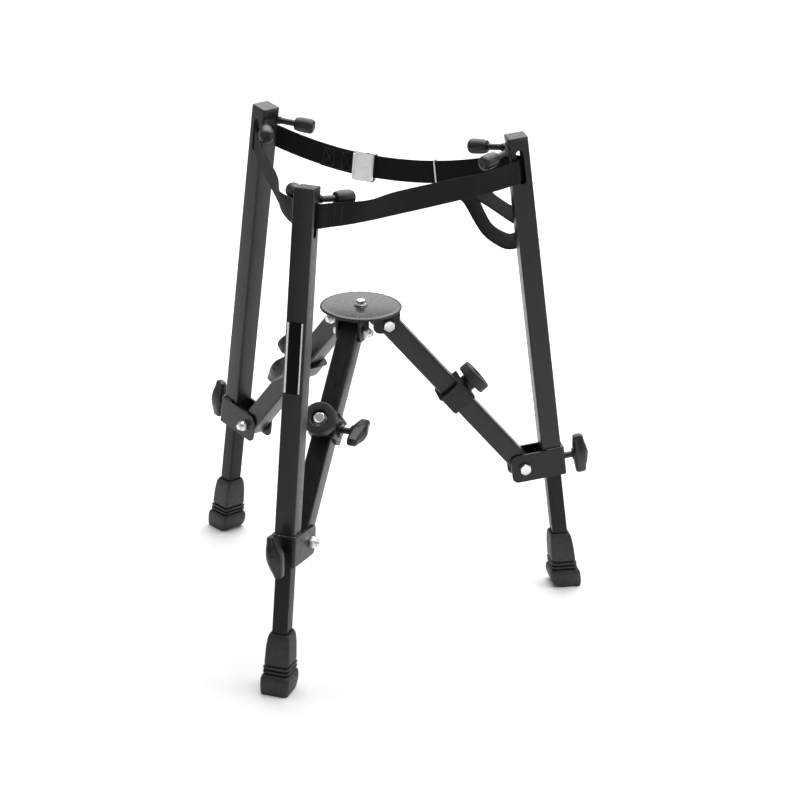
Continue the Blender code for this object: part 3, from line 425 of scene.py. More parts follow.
def ring_points(radius, z, steps):
    return [Vector(point) for point in at_height(arc(0, 0, radius, 0, 360, steps), z)]


def tube_along(points, radius, count=12, lumps=0.0, seed=0):
    """A round bead along a line of points, with an uneven surface where lumps isn't 0."""
    rings = []
    for i, point in enumerate(points):
        heading = (points[min(i + 1, len(points) - 1)] - points[max(i - 1, 0)]).normalized()
        side = heading.orthogonal().normalized()
        if abs(heading.z) < 0.9:
            side = heading.cross(UP).normalized()
        over = heading.cross(side)
        swell = 1 + lumps * noise.noise(Vector((i * 0.9, seed, 0)))
        rings.append([point + side * x + over * y for x, y in circle(radius * swell, count)])
    return loft(rings)


def mesh_of(name, bm):
    mesh = bpy.data.meshes.new(name)
    bm.to_mesh(mesh)
    bm.free()
    return mesh


def joined(*parts):
    """One mesh from several, each with its own placing matrix."""
    whole = bmesh.new()
    for part, matrix in parts:
        part.transform(matrix)
        mesh = mesh_of("part", part)
        whole.from_mesh(mesh)
        bpy.data.meshes.remove(mesh)
    return whole


def add_object(name, data):
    made = bpy.data.objects.new(name, data)
    bpy.context.scene.collection.objects.link(made)
    return made


def make(name, bm, place, body, finish, stands_for=(), smooth=35):
    """A piece of the stand: its mesh in a local frame, the body it rides on and its finish."""
    mesh = mesh_of(name, bm)
    mesh.shade_smooth()
    mesh.set_sharp_from_angle(angle=math.radians(smooth))
    made = add_object(name, mesh)
    made.matrix_world = place
    mesh.materials.append(finishes[finish])
    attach(made, body)
    if stands_for:
        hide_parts(*stands_for)
    return made


def round_edges(piece, width, segments, angle, harden=False):
    """Rounds a piece's edges that are sharper than an angle in degrees."""
    rounding = piece.modifiers.new("Bevel", "BEVEL")
    rounding.width = width
    rounding.segments = segments
    rounding.limit_method = "ANGLE"
    rounding.angle_limit = math.radians(angle)
    rounding.harden_normals = harden


def cut(target, bm, place=HERE):
    """Takes a shape out of a piece, and leaves the piece as a plain mesh."""
    mesh = mesh_of("cutter", bm)
    cutter = add_object("cutter", mesh)
    cutter.matrix_world = target.matrix_world @ place
    modifier = target.modifiers.new("Cut", "BOOLEAN")
    modifier.operation = "DIFFERENCE"
    modifier.object = cutter
    bpy.context.view_layer.update()
    graph = bpy.context.evaluated_depsgraph_get()
    solid = bpy.data.meshes.new_from_object(target.evaluated_get(graph))
    target.modifiers.remove(modifier)
    old = target.data
    target.data = solid
    solid.shade_smooth()
    solid.set_sharp_from_angle(angle=math.radians(35))
    bpy.data.meshes.remove(old)
    bpy.data.objects.remove(cutter)
    bpy.data.meshes.remove(mesh)


def round_corner(target, cx, cz, radius, sx, sz):
    """Rounds a plate's corner about a centre in X and Z. The corner lies towards sx and sz, each 1 or -1."""
    out, past = radius + 1 * MM, 20 * MM
    waste = [(0, past), (out, past), (out, 0)] + arc(0, 0, radius, 0, 90, 12)
    cut(target, prism([(cx + sx * x, cz + sz * z) for x, z in waste], -TUBE, TUBE, "Y"))


# ---------------- fasteners


def bolt_levels(head_end, grip_low, grip_high, nut_end):
    """A hexagon bolt along Z with its locking nut: head below, nut above."""
    across, shank = HEX_ACROSS, BOLT_RADIUS
    wide, down = across * 0.57, across * 0.49
    return [
        *levels_from(head_end, (across * 0.30, 0.5), (down - 1 * MM, 0.1)),
        *levels_from(head_end, (down, 0), (wide, 1), (across, 1.7)),
        *levels_from(grip_low, (across, -0.6), (down, -0.5), (down, 0), (shank, 0)),
        *levels_from(grip_high, (shank, 0), (down, 0), (across, 0.8), (across, 4.9), (down, 5.9)),
        *levels_from(nut_end, (down - 0.5 * MM, -0.7), (down - 1.1 * MM, 0)),
        *levels_from(nut_end, (shank + 0.9 * MM, 0), (shank + 0.7 * MM, -0.5), (shank, -0.5)),
    ]


def thread_levels(start, end):
    """Crests and roots of a coarse thread."""
    levels = []
    level, depth = start, 0
    while level < end - 0.6 * MM:
        levels.append((BOLT_RADIUS - depth, level))
        level += 0.625 * MM
        depth = THREAD_DEPTH - depth
    levels.append((BOLT_RADIUS - 0.7 * MM, end))
    return levels


def clevis_bolt(name, place, body, node):
    cheek = CHEEK_GAP / 2 + PLATE + GAP
    nut_end = cheek + 8 * MM
    levels = bolt_levels(-cheek - 5.3 * MM, -cheek, cheek, nut_end)
    levels += thread_levels(nut_end - 0.4 * MM, nut_end + 3 * MM)
    along_y = place @ spin(-90, "X")
    make(name, loft(hex_rings(HEX_ACROSS, levels)), along_y, body, "zinc", (node,), smooth=28)
    insert = []
    for out, rise in in_mm((0.1, -0.6), (0.1, -0.1), (0.5, 0.1), (0.9, -0.1), (0.9, -0.6)):
        insert.append((BOLT_RADIUS + out, nut_end + rise))
    make(f"{name}_insert", turned(insert, closed=True), along_y, body, "nylon")


def washer_bolt(name, place, body, node, low, seat, washer, across=HEX_ACROSS, radius=BOLT_RADIUS, nut=()):
    """A bolt whose head sits on a round washer, along Z. The nut's levels come first."""
    rings = hex_rings(across, [*nut, (radius, low), (radius, seat)])
    rim = washer - 0.3 * MM
    rounds = ((rim, 0), (washer, 0.3), (washer, 1.1), (rim, 1.4), (across * 0.52, 1.4))
    for reach, rise in rounds:
        rings.append(at_height(circle(reach, len(rings[0])), seat + rise * MM))
    head = ((0.49, 1.4), (1, 1.9), (1, 5.2), (0.53, 6.3), (0.48, 6.6), (0.42, 6.7), (0.38, 6.4), (0.10, 6.4))
    rings += hex_rings(across, [(across * share, seat + rise * MM) for share, rise in head])
    make(name, loft(rings), place, body, "zinc", (node,), smooth=28)


def knob_rings():
    """Cross-sections of a winged knob, from one wing's end to the other."""
    rings = []
    stations = 29
    for i in range(stations):
        s = -1 + 2 * i / (stations - 1)
        middle = math.cos(s * math.pi / 2)
        width = (9.5 + 10.5 * middle**1.6) * MM
        outside = KNOB_DEPTH - (1 - middle) * 4.5 * MM
        inside = (1 - middle) * 2.2 * MM
        tip = max(0.0, (abs(s) - 0.9) / 0.1)
        ease = 1 - math.sqrt(max(0.0, 1 - tip * tip))
        width -= ease * 5 * MM
        outside -= ease * 3 * MM
        inside += ease * 3 * MM
        depth = outside - inside
        ridge = 0.9 * MM * (1 - abs(s)) + 0.5 * MM
        ring = []
        for x, y in rounded_rectangle(depth, width, min(width, depth) * 0.34, 5):
            crown = ridge * max(0.0, 1 - abs(y) / (width / 2)) * (1 if x > 0 else 0) - ridge * (x > 0)
            scoop = 0.9 * MM * math.exp(-(((abs(s) - 0.62) / 0.2) ** 2)) * (1 if x > depth * 0.3 else 0)
            ring.append((x + (outside + inside) / 2 + crown - scoop, s * KNOB_SPAN / 2, y))
        rings.append(ring)
    return rings


def wing_knob(name, place, body, node, stud):
    """A winged knob whose stud runs inwards along -X."""
    neck = in_mm((3.0, 4), (7.6, 4), (7.9, 0.4), (7.5, -0.6), (7.0, -1.0))
    shank = BOLT_RADIUS
    neck += levels_from(0, (shank + 0.5 * MM, -1.0), (shank, -1.4))
    neck += levels_from(-stud, (shank, 0.8), (shank - 0.8 * MM, 0), (shank - 2.5 * MM, 0))
    pip = in_mm((0.4, 0.6), (3.2, 0.6), (4.2, 0), (4.2, -2), (1, -2))
    shape = joined(
        (loft(knob_rings()), HERE),
        (turned(neck, 40), spin(90, "Y")),
        (turned(pip, 32), shift(KNOB_DEPTH - 0.4 * MM) @ spin(90, "Y")),
    )
    make(name, shape, place, body, "knob_plastic", (node,), smooth=42)


# ---------------- legs


def square_tube(width, wall, low, high, corner):
    lip = 0.35 * MM
    inside = width - 2 * wall
    inner_corner = max(corner - wall, 0.5 * MM)
    levels = (
        (low, width - 2 * lip, corner - lip),
        (low + lip, width, corner),
        (high - lip, width, corner),
        (high, width - 2 * lip, corner - lip),
        (high, inside + 2 * lip, inner_corner + lip),
        (high - lip, inside, inner_corner),
        (low + lip, inside, inner_corner),
        (low, inside + 2 * lip, inner_corner + lip),
    )
    return loft(square_rings(levels), closed_loop=True)


def leg_tube(side):
    low = -(PIVOT_BELOW_TOP + BRACKET_HEIGHT / 2)
    shape = square_tube(TUBE, TUBE_WALL, low, -CAP_THICK - GAP, 2.5 * MM)
    tube = make(f"leg_{side}", shape, legs[side], f"{side}_leg", "powder_coat", (f"leg_tube_{side}",))
    opening = rounded_rectangle(SLOT_WIDTH, SLOT_LENGTH, SLOT_WIDTH / 2 - 0.01 * MM, 10)
    cut(tube, prism(opening, -TUBE, TUBE, "Y"), shift(z=-(SLOT_TOP + SLOT_LENGTH / 2)))
    round_edges(tube, 0.3 * MM, 2, 60)


def plug(side):
    """The moulded plug in the top of a leg, with a shallow dish in its face."""
    wide = TUBE - 2 * TUBE_WALL - 2 * GAP
    face = ((-1.1, 0, 2.6), (-0.5, -0.7, 2.5), (-0.1, -2, 2.2), (0, -3, 2), (-0.35, -8, 1.8), (-0.5, -20, 1.2))
    levels = [
        *square_levels(0, wide, (-14, -1, 1), (-13, 0, 1)),
        *square_levels(-CAP_THICK, wide, (0, 0, 1)),
        *square_levels(-CAP_THICK, TUBE, (0, -0.4, 2.4), (0.3, 0, 2.6)),
        *square_levels(0, TUBE, *face),
    ]
    shape = loft(square_rings(levels))
    make(f"plug_{side}", shape, legs[side], f"{side}_leg", "cap_plastic", (f"leg_cap_{side}",), smooth=50)


def bracket(side):
    """The folded strip round the leg, with its weld and its bolt."""
    inner_end = -(PIVOT_INWARD + BRACKET_OVERHANG)
    half, back, turn_in = CHEEK_GAP / 2, TUBE / 2 + GAP, 1 * MM
    centre = (back - turn_in, -half + turn_in)
    outer = [(inner_end, -half - PLATE)] + arc(*centre, PLATE + turn_in, -90, 0, 8)
    inner = [(inner_end, -half)] + arc(*centre, turn_in, -90, 0, 8)
    outer += [(x, -y) for x, y in outer[::-1]]
    inner += [(x, -y) for x, y in inner[::-1]]
    low, high = -BRACKET_HEIGHT / 2, BRACKET_HEIGHT / 2
    place = legs[side] @ shift(z=-PIVOT_BELOW_TOP)
    shape, node = prism(outer + inner[::-1], low, high), f"leg_bracket_{side}"
    strip = make(f"bracket_{side}", shape, place, f"{side}_leg", "bracket_paint", (node,))
    corner = 8 * MM
    for end in (1, -1):
        round_corner(strip, inner_end + corner, end * (high - corner), corner, -1, end)
    round_edges(strip, 0.5 * MM, 3, 50, harden=True)
    bracket_weld(side, high)
    clevis_bolt(f"bolt_{side}", place @ shift(-PIVOT_INWARD), f"{side}_leg", f"bracket_bolt_{side}")


def bracket_weld(side, level):
    """An uneven weld bead round three faces of the tube, where the strip's upper edge meets it."""
    reach = TUBE / 2 + 0.9 * MM
    corners = [(-7 * MM, -reach), (reach, -reach), (reach, reach), (-7 * MM, reach)]
    points = []
    steps = 16
    for (x0, y0), (x1, y1) in zip(corners, corners[1:]):
        for step in range(steps):
            share = step / steps
            wander = 0.5 * MM * noise.noise(Vector((share * 7, x0 * 900, len(points))))
            x, y = x0 + (x1 - x0) * share, y0 + (y1 - y0) * share
            points.append(Vector((min(x, reach - 0.2 * MM), y, level - 0.5 * MM + wander)))
    place = legs[side] @ shift(z=-PIVOT_BELOW_TOP)
    bead = tube_along(points, 1.8 * MM, 12, 0.8, SIDES.index(side))
    make(f"bracket_weld_{side}", bead, place, f"{side}_leg", "weld", smooth=60)


def prongs(side):
    """Two rods from a small plate on the inner face, each with a rubber tip."""
    body = f"{side}_leg"
    place = legs[side] @ shift(z=-PRONG_BELOW_TOP)
    face = -TUBE / 2 - GAP
    plate = prism(rounded_rectangle(24 * MM, 10 * MM, 2 * MM), face - 2 * MM, face, "X")
    parts = [(plate, HERE)]
    start = (TUBE / 2 + GAP + 1 * MM) / math.cos(PRONG_HALF_ANGLE)
    rod_end = PRONG_REACH - TIP_LENGTH + 8 * MM
    rod = [(1 * MM, start), (ROD_RADIUS, start)]
    rod += levels_from(rod_end, (ROD_RADIUS, -0.4), (ROD_RADIUS - 0.4 * MM, 0))
    for label, sign in (("a", 1), ("b", -1)):
        heading = Vector((-math.cos(PRONG_HALF_ANGLE), sign * math.sin(PRONG_HALF_ANGLE), 0))
        turn = heading.to_track_quat("Z", "Y").to_matrix().to_4x4()
        parts.append((turned(rod, 32), turn))
        weld = tube_along(ring_points(ROD_RADIUS, 0, 24), 1.1 * MM, 10, 0.5, sign)
        parts.append((weld, turn @ shift(z=start + 2.4 * MM)))
        node = f"prong_tip_{label}_{side}"
        make(f"tip_{label}_{side}", tip_shape(rod_end), place @ turn, body, "tip_rubber", (node,), smooth=40)
    make(f"prongs_{side}", joined(*parts), place, body, "powder_coat", (f"prong_rods_{side}",), smooth=40)


def tip_shape(rod_end):
    """A domed rubber tip with a raised ring and a dimple in its end."""
    back = PRONG_REACH - TIP_LENGTH
    profile = [(ROD_RADIUS + GAP, rod_end), (ROD_RADIUS + GAP, back)]
    shoulder = ((2.6, 0), (1.9, 0.3), (1.5, 1.2))
    profile += [(TIP_RADIUS - less, back + rise) for less, rise in in_mm(*shoulder)]
    for step in range(1, 9):
        share = step / 8
        profile.append((TIP_RADIUS - 1.5 * MM * (1 - share) ** 1.7, back + (1.2 + 9 * share) * MM))
    dome = 6 * MM
    for step in range(11):
        angle = math.radians(9 * step)
        radius = TIP_RADIUS * (0.36 + 0.64 * math.cos(angle) ** 0.8 if step < 10 else 0.36)
        profile.append((radius, PRONG_REACH - dome + dome * math.sin(angle)))
    dimple = ((0.30, 0), (0.26, 0.6), (0.20, 0.6), (0.14, 0.1), (0.08, 0.3))
    profile += [(TIP_RADIUS * share, PRONG_REACH - depth * MM) for share, depth in dimple]
    return turned(profile, 48)


def label():
    """A plain black film on the front leg's outer face, with a thin white line by each long edge."""
    top, bottom = 156 * MM, 241.5 * MM
    width, middle = 19.6 * MM, -0.6 * MM
    place = legs["front"] @ shift(TUBE / 2, middle, -(top + bottom) / 2)
    film = prism(rounded_rectangle(width, bottom - top, 0.8 * MM, 4), 0.02 * MM, 0.14 * MM, "X")
    make("label", film, place, "front_leg", "label_film")
    for edge, across, broad in (("a", -8.6 * MM, 2.3 * MM), ("b", 8.7 * MM, 1.7 * MM)):
        outline = rounded_rectangle(broad, bottom - top - 2 * MM, 0.2 * MM, 3)
        line = prism(outline, 0.14 * MM, 0.18 * MM, "X")
        along = place @ shift(y=across)
        make(f"label_line_{edge}", line, along, "front_leg", "label_white")


# ---------------- feet


def rubber_foot(side):
    """A tapered boot with square shoulders and two thin ribs, on a flared base with a raised heel."""
    outward, _, up = legs[side].to_3x3().col
    outward = Vector((outward.x, outward.y, 0)).normalized()
    top = legs[side].translation
    ground = top - up * (top.z / up.z)
    slant = math.hypot(up.x, up.y) / up.z
    base, height = FOOT_BASE / MM, FOOT_HEIGHT / MM
    profile = []  # height, inner and outer half lengths, width and corner radius, in millimetres
    for step in range(11):
        share = step / 10
        lift = (1 - share) ** 2
        level = 0.65 * base * share**1.5
        profile.append((level, 19.5 - 8.5 * lift, 20 - 1.5 * lift, 36.5 - 3 * lift, 5))
    for below, inner, width in ((4.6, 19.1, 35.8), (2, 17.9, 34.2), (0.5, 16.6, 32.4)):
        profile.append((base - below, inner, inner + 0.5, width, 4.5))
    rib = ((0.1, 13.6), (1.9, 13.6), (2.1, 16), (2.5, 16.6), (4, 16.6), (4.4, 16))
    for level in (base, base + 4.8):
        for rise, half in rib:
            profile.append((level + rise, half, half, 2 * half, 4))
    for rise, half in ((0.1, 13.6), (1.9, 13.6), (2.1, 15.0), (2.9, 15.6), (6, 15.6), (12, 15.4)):
        profile.append((base + 9.6 + rise, half, half, 2 * half, 4.2))
    boot_top = ((18, 15.0), (12, 14.5), (7, 13.9), (4, 13.3), (2, 12.6), (0.6, 11.9), (0, 11.2), (0.3, 10.6))
    for below, half in boot_top:
        profile.append((height - below, half, half, 2 * half, 3.8))
    socket = (INNER_TUBE / 2 + GAP) / MM
    for below in (0.8, 10):
        profile.append((height - below, socket, socket, 2 * socket, 2.3))
    rings = []
    for z, inner, outer, width, corner in in_mm(*profile):
        outline = rounded_rectangle(outer + inner, width, corner, 6, ((outer - inner) / 2, 0))
        rings.append([(x - z * slant, y, z) for x, y in outline])
    place = placed(ground, outward, UP)
    make(f"boot_{side}", loft(rings), place, f"{side}_foot", "rubber", (f"rubber_foot_{side}",), smooth=38)


def foot_tube(side):
    """The sliding tube, up into the leg as far as in the frame."""
    leg = legs[side]
    rise = leg.to_3x3().col[2].z
    high = (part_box(f"foot_tube_{side}")[1].z - leg.translation.z) / rise - 1 * MM
    low = (14 * MM - leg.translation.z) / rise
    tube = square_tube(INNER_TUBE, 1.5 * MM, low, high, 2 * MM)
    node = f"foot_tube_{side}"
    make(f"slider_{side}", tube, leg, f"{side}_foot", "slider_paint", (node,))


# ---------------- arms and collars


def collar_place(side):
    along = (point_of(f"{side}_collar_knob_turn") - arms[side].translation).dot(arms[side].to_3x3().col[0])
    return arms[side] @ shift(along)


def arm_tube(side):
    length = (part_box(f"arm_tube_{side}")[1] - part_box(f"arm_tube_{side}")[0]).z
    drop = -arms[side].to_3x3().col[0].z
    rise = arms[side].to_3x3().col[2].z
    reach = (length - TUBE * rise) / drop
    overhang = 8 * MM
    tube = square_tube(TUBE, TUBE_WALL, -overhang, reach - overhang, 2.5 * MM)
    make(f"arm_{side}", tube, arms[side] @ spin(90, "Y"), f"{side}_arm", "powder_coat", (f"arm_tube_{side}",))


def collar(side):
    """A sliding collar with a stepped lip, and a ribbed boss, a nut and a weld for its knob and bumper."""
    place, body = collar_place(side), f"{side}_collar"
    half, bore = COLLAR_LENGTH / 2, TUBE + 2 * GAP
    step = 3.2 * MM
    levels = [
        *square_levels(-half, COLLAR_LIP, (0.5, -1, 2.6), (0, -0.4, 2.8), (0.3, 0, 3)),
        *square_levels(-half + step, COLLAR_LIP, (-0.4, 0, 3), (0, -0.6, 2.8)),
        *square_levels(-half + step, COLLAR_SIZE, (0, -0.8, 2.8), (0.6, -0.8, 2.8), (0.7, 0, 3)),
        *square_levels(half, COLLAR_SIZE, (-3.1, 0, 3), (-2.8, -0.9, 3), (-0.5, -0.9, 3), (0, -1.9, 2.5)),
        *square_levels(half, bore, (0, 1, 2), (-0.5, 0, 1.5)),
        *square_levels(-half, bore, (0.9, 0, 1.5), (0.5, 0.8, 1.9)),
    ]
    top = COLLAR_SIZE / 2
    boss_top = top + BUMPER_BOSS
    ribs = [(3 * MM, top - 1 * MM), (11.2 * MM, top - 1 * MM), (11.2 * MM, top + 0.3 * MM)]
    level = top + 0.6 * MM
    while level < boss_top - 1.2 * MM:
        for radius, rise in in_mm((11, 0), (11, 0.7), (10.3, 0.9), (10.3, 1.4)):
            ribs.append((radius, level + rise))
        level += 1.7 * MM
    ribs += [(11 * MM, boss_top - 0.6 * MM), (10.6 * MM, boss_top - GAP), (3 * MM, boss_top - GAP)]
    nut = [(limit, top + rise) for limit, rise in in_mm((20, -1), (20, 2.2), (8, 3), (4.4, 3), (4.4, -1))]
    to_knob = spin(-90, "X")
    shape = joined(
        (loft(square_rings(levels), closed_loop=True), spin(90, "Y")),
        (turned(ribs), HERE),
        (loft(hex_rings(16 * MM, nut), closed_loop=True), to_knob),
        (tube_along(ring_points(9 * MM, top + 0.2 * MM, 40), 0.9 * MM, 8, 0.5, 3), to_knob),
    )
    make(f"sleeve_{side}", shape, place, body, "bracket_paint", (f"collar_{side}",), smooth=38)
    bumper(side, place, body)


def bumper(side, place, body):
    """The rubber disc that the drum's rim stands on, with its bolt deep in the middle."""
    low = COLLAR_SIZE / 2 + BUMPER_BOSS
    high = low + BUMPER_THICK
    well = high - 8.5 * MM
    profile = [(BOLT_RADIUS + GAP, well), (BOLT_RADIUS + GAP, low), (BUMPER_RADIUS - 2.4 * MM, low)]
    profile += arc(BUMPER_RADIUS - 2 * MM, low + 2 * MM, 2 * MM, -90, 0, 6)
    profile += arc(BUMPER_RADIUS - 2.6 * MM, high - 2.6 * MM, 2.6 * MM, 0, 90, 8)
    face = ((13.4, 0), (13.1, -0.35), (12.7, -0.35), (12.4, 0), (11.4, 0), (10.5, -0.4), (10, -1.2))
    profile += [(radius, high + rise) for radius, rise in in_mm(*face)]
    profile += [(9.6 * MM, well + 0.5 * MM), (9.1 * MM, well)]
    disc = turned(profile, 72, closed=True)
    make(f"pad_{side}", disc, place, body, "rubber", (f"bumper_{side}",), smooth=40)
    node, foot = f"bumper_bolt_{side}", TUBE / 2 + 2 * GAP
    washer_bolt(f"pad_bolt_{side}", place, body, node, foot, well + GAP, 8.5 * MM)


def knobs(side):
    """The winged knobs of a leg and its collar, each turned about its stud as it was left."""
    leg_stud = TUBE / 2 + GAP + PLATE + LEG_STUD - INNER_TUBE / 2 - GAP
    collar_stud = COLLAR_SIZE / 2 + COLLAR_STUD - TUBE / 2 - GAP
    for part, along_wings, turn, stud in (
        ("leg", legs[side].to_3x3().col[1], LEG_KNOB_TURN[side], leg_stud),
        ("collar", arms[side].to_3x3().col[2], COLLAR_KNOB_TURN[side], collar_stud),
    ):
        joint = f"{side}_{part}_knob_turn"
        place = placed(point_of(joint), axis_of(joint), along_wings) @ spin(turn, "X")
        wing_knob(f"knob_{part}_{side}", place, f"{side}_{part}_knob", f"{part}_knob_{side}", stud)


# ---------------- hub


def hub():
    place = Matrix.Translation(hub_middle)
    low = hub_top - HUB_THICK
    profile = [(2 * MM, low), (HUB_RADIUS - 1 * MM, low), (HUB_RADIUS - 0.2 * MM, low + 0.3 * MM)]
    rim_wide, rim_high = 3.6 * MM, 2.2 * MM
    for x, z in arc(0, 0, 1, 0, 90, 8):
        profile.append((HUB_RADIUS - rim_wide * (1 - x), hub_top - rim_high * (1 - z)))
    dish, dish_edge, seat_edge = 1.2 * MM, HUB_RADIUS - 5 * MM, 8.4 * MM
    for step in range(12):
        reach = dish_edge + (seat_edge - dish_edge) * step / 11
        profile.append((reach, hub_top - dish * (1 - (reach / dish_edge) ** 2)))
    profile += [(7.4 * MM, hub_top - 0.2 * MM), (7.1 * MM, hub_top), (2 * MM, hub_top)]
    make("hub_disc", turned(profile, 128), place, "hub", "hub_paint", ("hub_plate",), smooth=40)
    under, seat = low - GAP, hub_top + GAP
    across, radius, washer = MIDDLE_HEX, MIDDLE_BOLT_RADIUS, MIDDLE_WASHER
    nut = levels_from(under, (radius - 0.7 * MM, -9), (radius, -8.4), (radius, -5.5))
    nut += levels_from(under, (across * 0.49, -5.5), (across, -4.7), (across, 0))
    washer_bolt("hub_bolt_middle", place, "hub", "centre_bolt", under, seat, washer, across, radius, nut)
    for side in SIDES:
        clevis(side)


def clevis(side):
    """A channel under the hub disc that holds an arm's end, with the weld along its sides."""
    outward = legs[side].to_3x3().col[1].cross(UP)
    place = placed(hub_middle + UP * (hub_top - HUB_THICK - GAP), outward, UP)
    half = CHEEK_GAP / 2
    drop = HUB_PIVOT_DROP - HUB_THICK - GAP
    depth = drop + 11 * MM
    fold = 2.5 * MM
    outer = [(-half - PLATE, -depth)] + arc(-half - PLATE + fold, -fold, fold, 180, 90, 6)
    inner = [(-half, -depth), (-half, -CLEVIS_WEB)]
    outline = outer + [(-y, z) for y, z in outer[::-1]] + [(-y, z) for y, z in inner] + inner[::-1]
    shape = prism(outline, CLEVIS_START, CLEVIS_END, "X")
    channel = make(f"clevis_{side}", shape, place, "hub", "bracket_paint", (f"hub_clevis_{side}",))
    corner = 9 * MM
    for end, sign in ((CLEVIS_START, -1), (CLEVIS_END, 1)):
        round_corner(channel, end - sign * corner, corner - depth, corner, sign, -1)
    round_edges(channel, 0.4 * MM, 3, 50, harden=True)
    clevis_bolt(f"hub_pivot_{side}", place @ shift(HUB_PIVOT_RADIUS, 0, -drop), "hub", f"hub_bolt_{side}")
    margin, steps = 2 * MM, 21
    run = CLEVIS_END - CLEVIS_START - 2 * margin
    stations = [CLEVIS_START + margin + run * step / steps for step in range(steps + 1)]
    for label, sign in (("a", -1), ("b", 1)):
        points = [Vector((x, sign * (half + PLATE - 0.4 * MM), -0.2 * MM)) for x in stations]
        bead = tube_along(points, 1.2 * MM, 10, 0.7, sign)
        make(f"clevis_weld_{side}_{label}", bead, place, "hub", "weld", smooth=60)


# ---------------- webbing


def slot_exit(side, sign, step, steps=8):
    """A point of the bend where the strap leaves a leg's slot."""
    angle = math.radians(60 * step / steps)
    x = SLOT_PLACE - SLOT_BEND * (1 - math.cos(angle))
    y = sign * (TUBE / 2 - 0.5 * MM + SLOT_BEND * math.sin(angle))
    return legs[side] @ Vector((x, y, -STRAP_BELOW_TOP[side]))


def span_at(first, second, sign, u):
    """A point of the span and its width direction, u counted from first."""
    pair = (first, second) if sign > 0 else (second, first)
    sag = SPANS[pair]["sag"]
    push = SPANS[pair]["push"][0 if sign > 0 else 1]
    start, end = slot_exit(first, sign, 1, 1), slot_exit(second, -sign, 1, 1)
    middle = (start + end) / 2 - hub_middle
    outward = Vector((middle.x, middle.y, 0)).normalized()
    leg_up = legs[first].to_3x3().col[2]
    bulge = push * math.exp(-(((u - 0.19) / 0.12) ** 2))
    point = start + (end - start) * u + outward * bulge * min(1, u / 0.08) - UP * (sag * 4 * u * (1 - u))
    lean = leg_up.lerp(UP, min(1, 2.5 * u)) + outward * (1.2 * bulge / WEB_WIDTH)
    return point, lean.normalized()


def band(path, width=WEB_WIDTH, thickness=WEB_THICK, offset=0.0, seed=0.0):
    """Webbing along (point, width direction) pairs, with round edges and a slight ripple."""
    flat, edge = (width - thickness) / 2, thickness / 2
    columns = 8
    levels = [flat * (2 * i / columns - 1) for i in range(columns + 1)]
    section = [(-w, edge) for w in levels] + arc(-flat, 0, edge, 135, 225, 2)
    section += [(w, -edge) for w in levels] + arc(flat, 0, edge, -45, 45, 2)
    bm = bmesh.new()
    uv = bm.loops.layers.uv.new("weave")
    loops, lengths = [], []
    length = 0.0
    for i, (point, across) in enumerate(path):
        before, after = path[max(i - 1, 0)][0], path[min(i + 1, len(path) - 1)][0]
        heading = (after - before).normalized()
        across = square_to(heading, across)
        normal = heading.cross(across)
        if i:
            length += (point - path[i - 1][0]).length
        lengths.append(length)
        fade = min(1.0, i / 4, (len(path) - 1 - i) / 4)
        ring = []
        for w, n in section:
            ripple = 0.35 * MM * fade * noise.noise(Vector((length * 45, w * 60, seed)))
            place = point + across * w + normal * (n + offset + ripple)
            ring.append(bm.verts.new(place))
        loops.append(ring)
    count = len(section)
    for k in range(len(loops) - 1):
        for i in range(count):
            j = (i + 1) % count
            corners = ((k, i), (k, j), (k + 1, j), (k + 1, i))
            face = bm.faces.new([loops[a][b] for a, b in corners])
            for loop, (a, b) in zip(face.loops, corners):
                loop[uv].uv = (lengths[a], section[b][0])
    for ring, level in ((loops[0][::-1], 0), (loops[-1], -1)):
        face = bm.faces.new(ring)
        for loop in face.loops:
            loop[uv].uv = (lengths[level], 0)
    bmesh.ops.recalc_face_normals(bm, faces=bm.faces)
    return bm


def neighbour(side, sign):
    return SIDES[(SIDES.index(side) + sign) % 3]


def fold_with(piece):
    """Gives the piece its own copy of its mesh."""
    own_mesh(piece)


def sewn(name, bm, side, stands_for=(), finish="webbing", smooth=60):
    """A piece of the strap or its thread, made in place on the leg that carries it."""
    return make(name, bm, HERE, f"{side}_leg", finish, stands_for, smooth)


def half_span(side, sign):
    other = neighbour(side, sign)
    up = legs[side].to_3x3().col[2]
    path = [(slot_exit(side, sign, step), up) for step in range(9)]
    steps = 44
    for i in range(1, steps + 1):
        path.append(span_at(side, other, sign, 0.5 * i / steps))
    name = f"strap_{side}_{'to' if sign > 0 else 'from'}_{other}"
    fold_with(sewn(name, band(path, seed=seed_of(name)), side))


def seed_of(name):
    return sum(ord(c) * (i + 3) for i, c in enumerate(name)) % 97


def passage(side):
    """The stretch of strap inside a leg's two slots, which bows outwards in the tube."""
    first, last = slot_exit(side, -1, 0), slot_exit(side, 1, 0)
    outward, _, up = legs[side].to_3x3().col
    path = []
    steps = 24
    for step in range(steps + 1):
        bow = 5.5 * MM * math.sin(math.pi * step / steps) ** 2
        path.append((first.lerp(last, step / steps) + outward * bow, up))
    sewn(f"strap_in_{side}", band(path), side, (f"strap_{side}",))


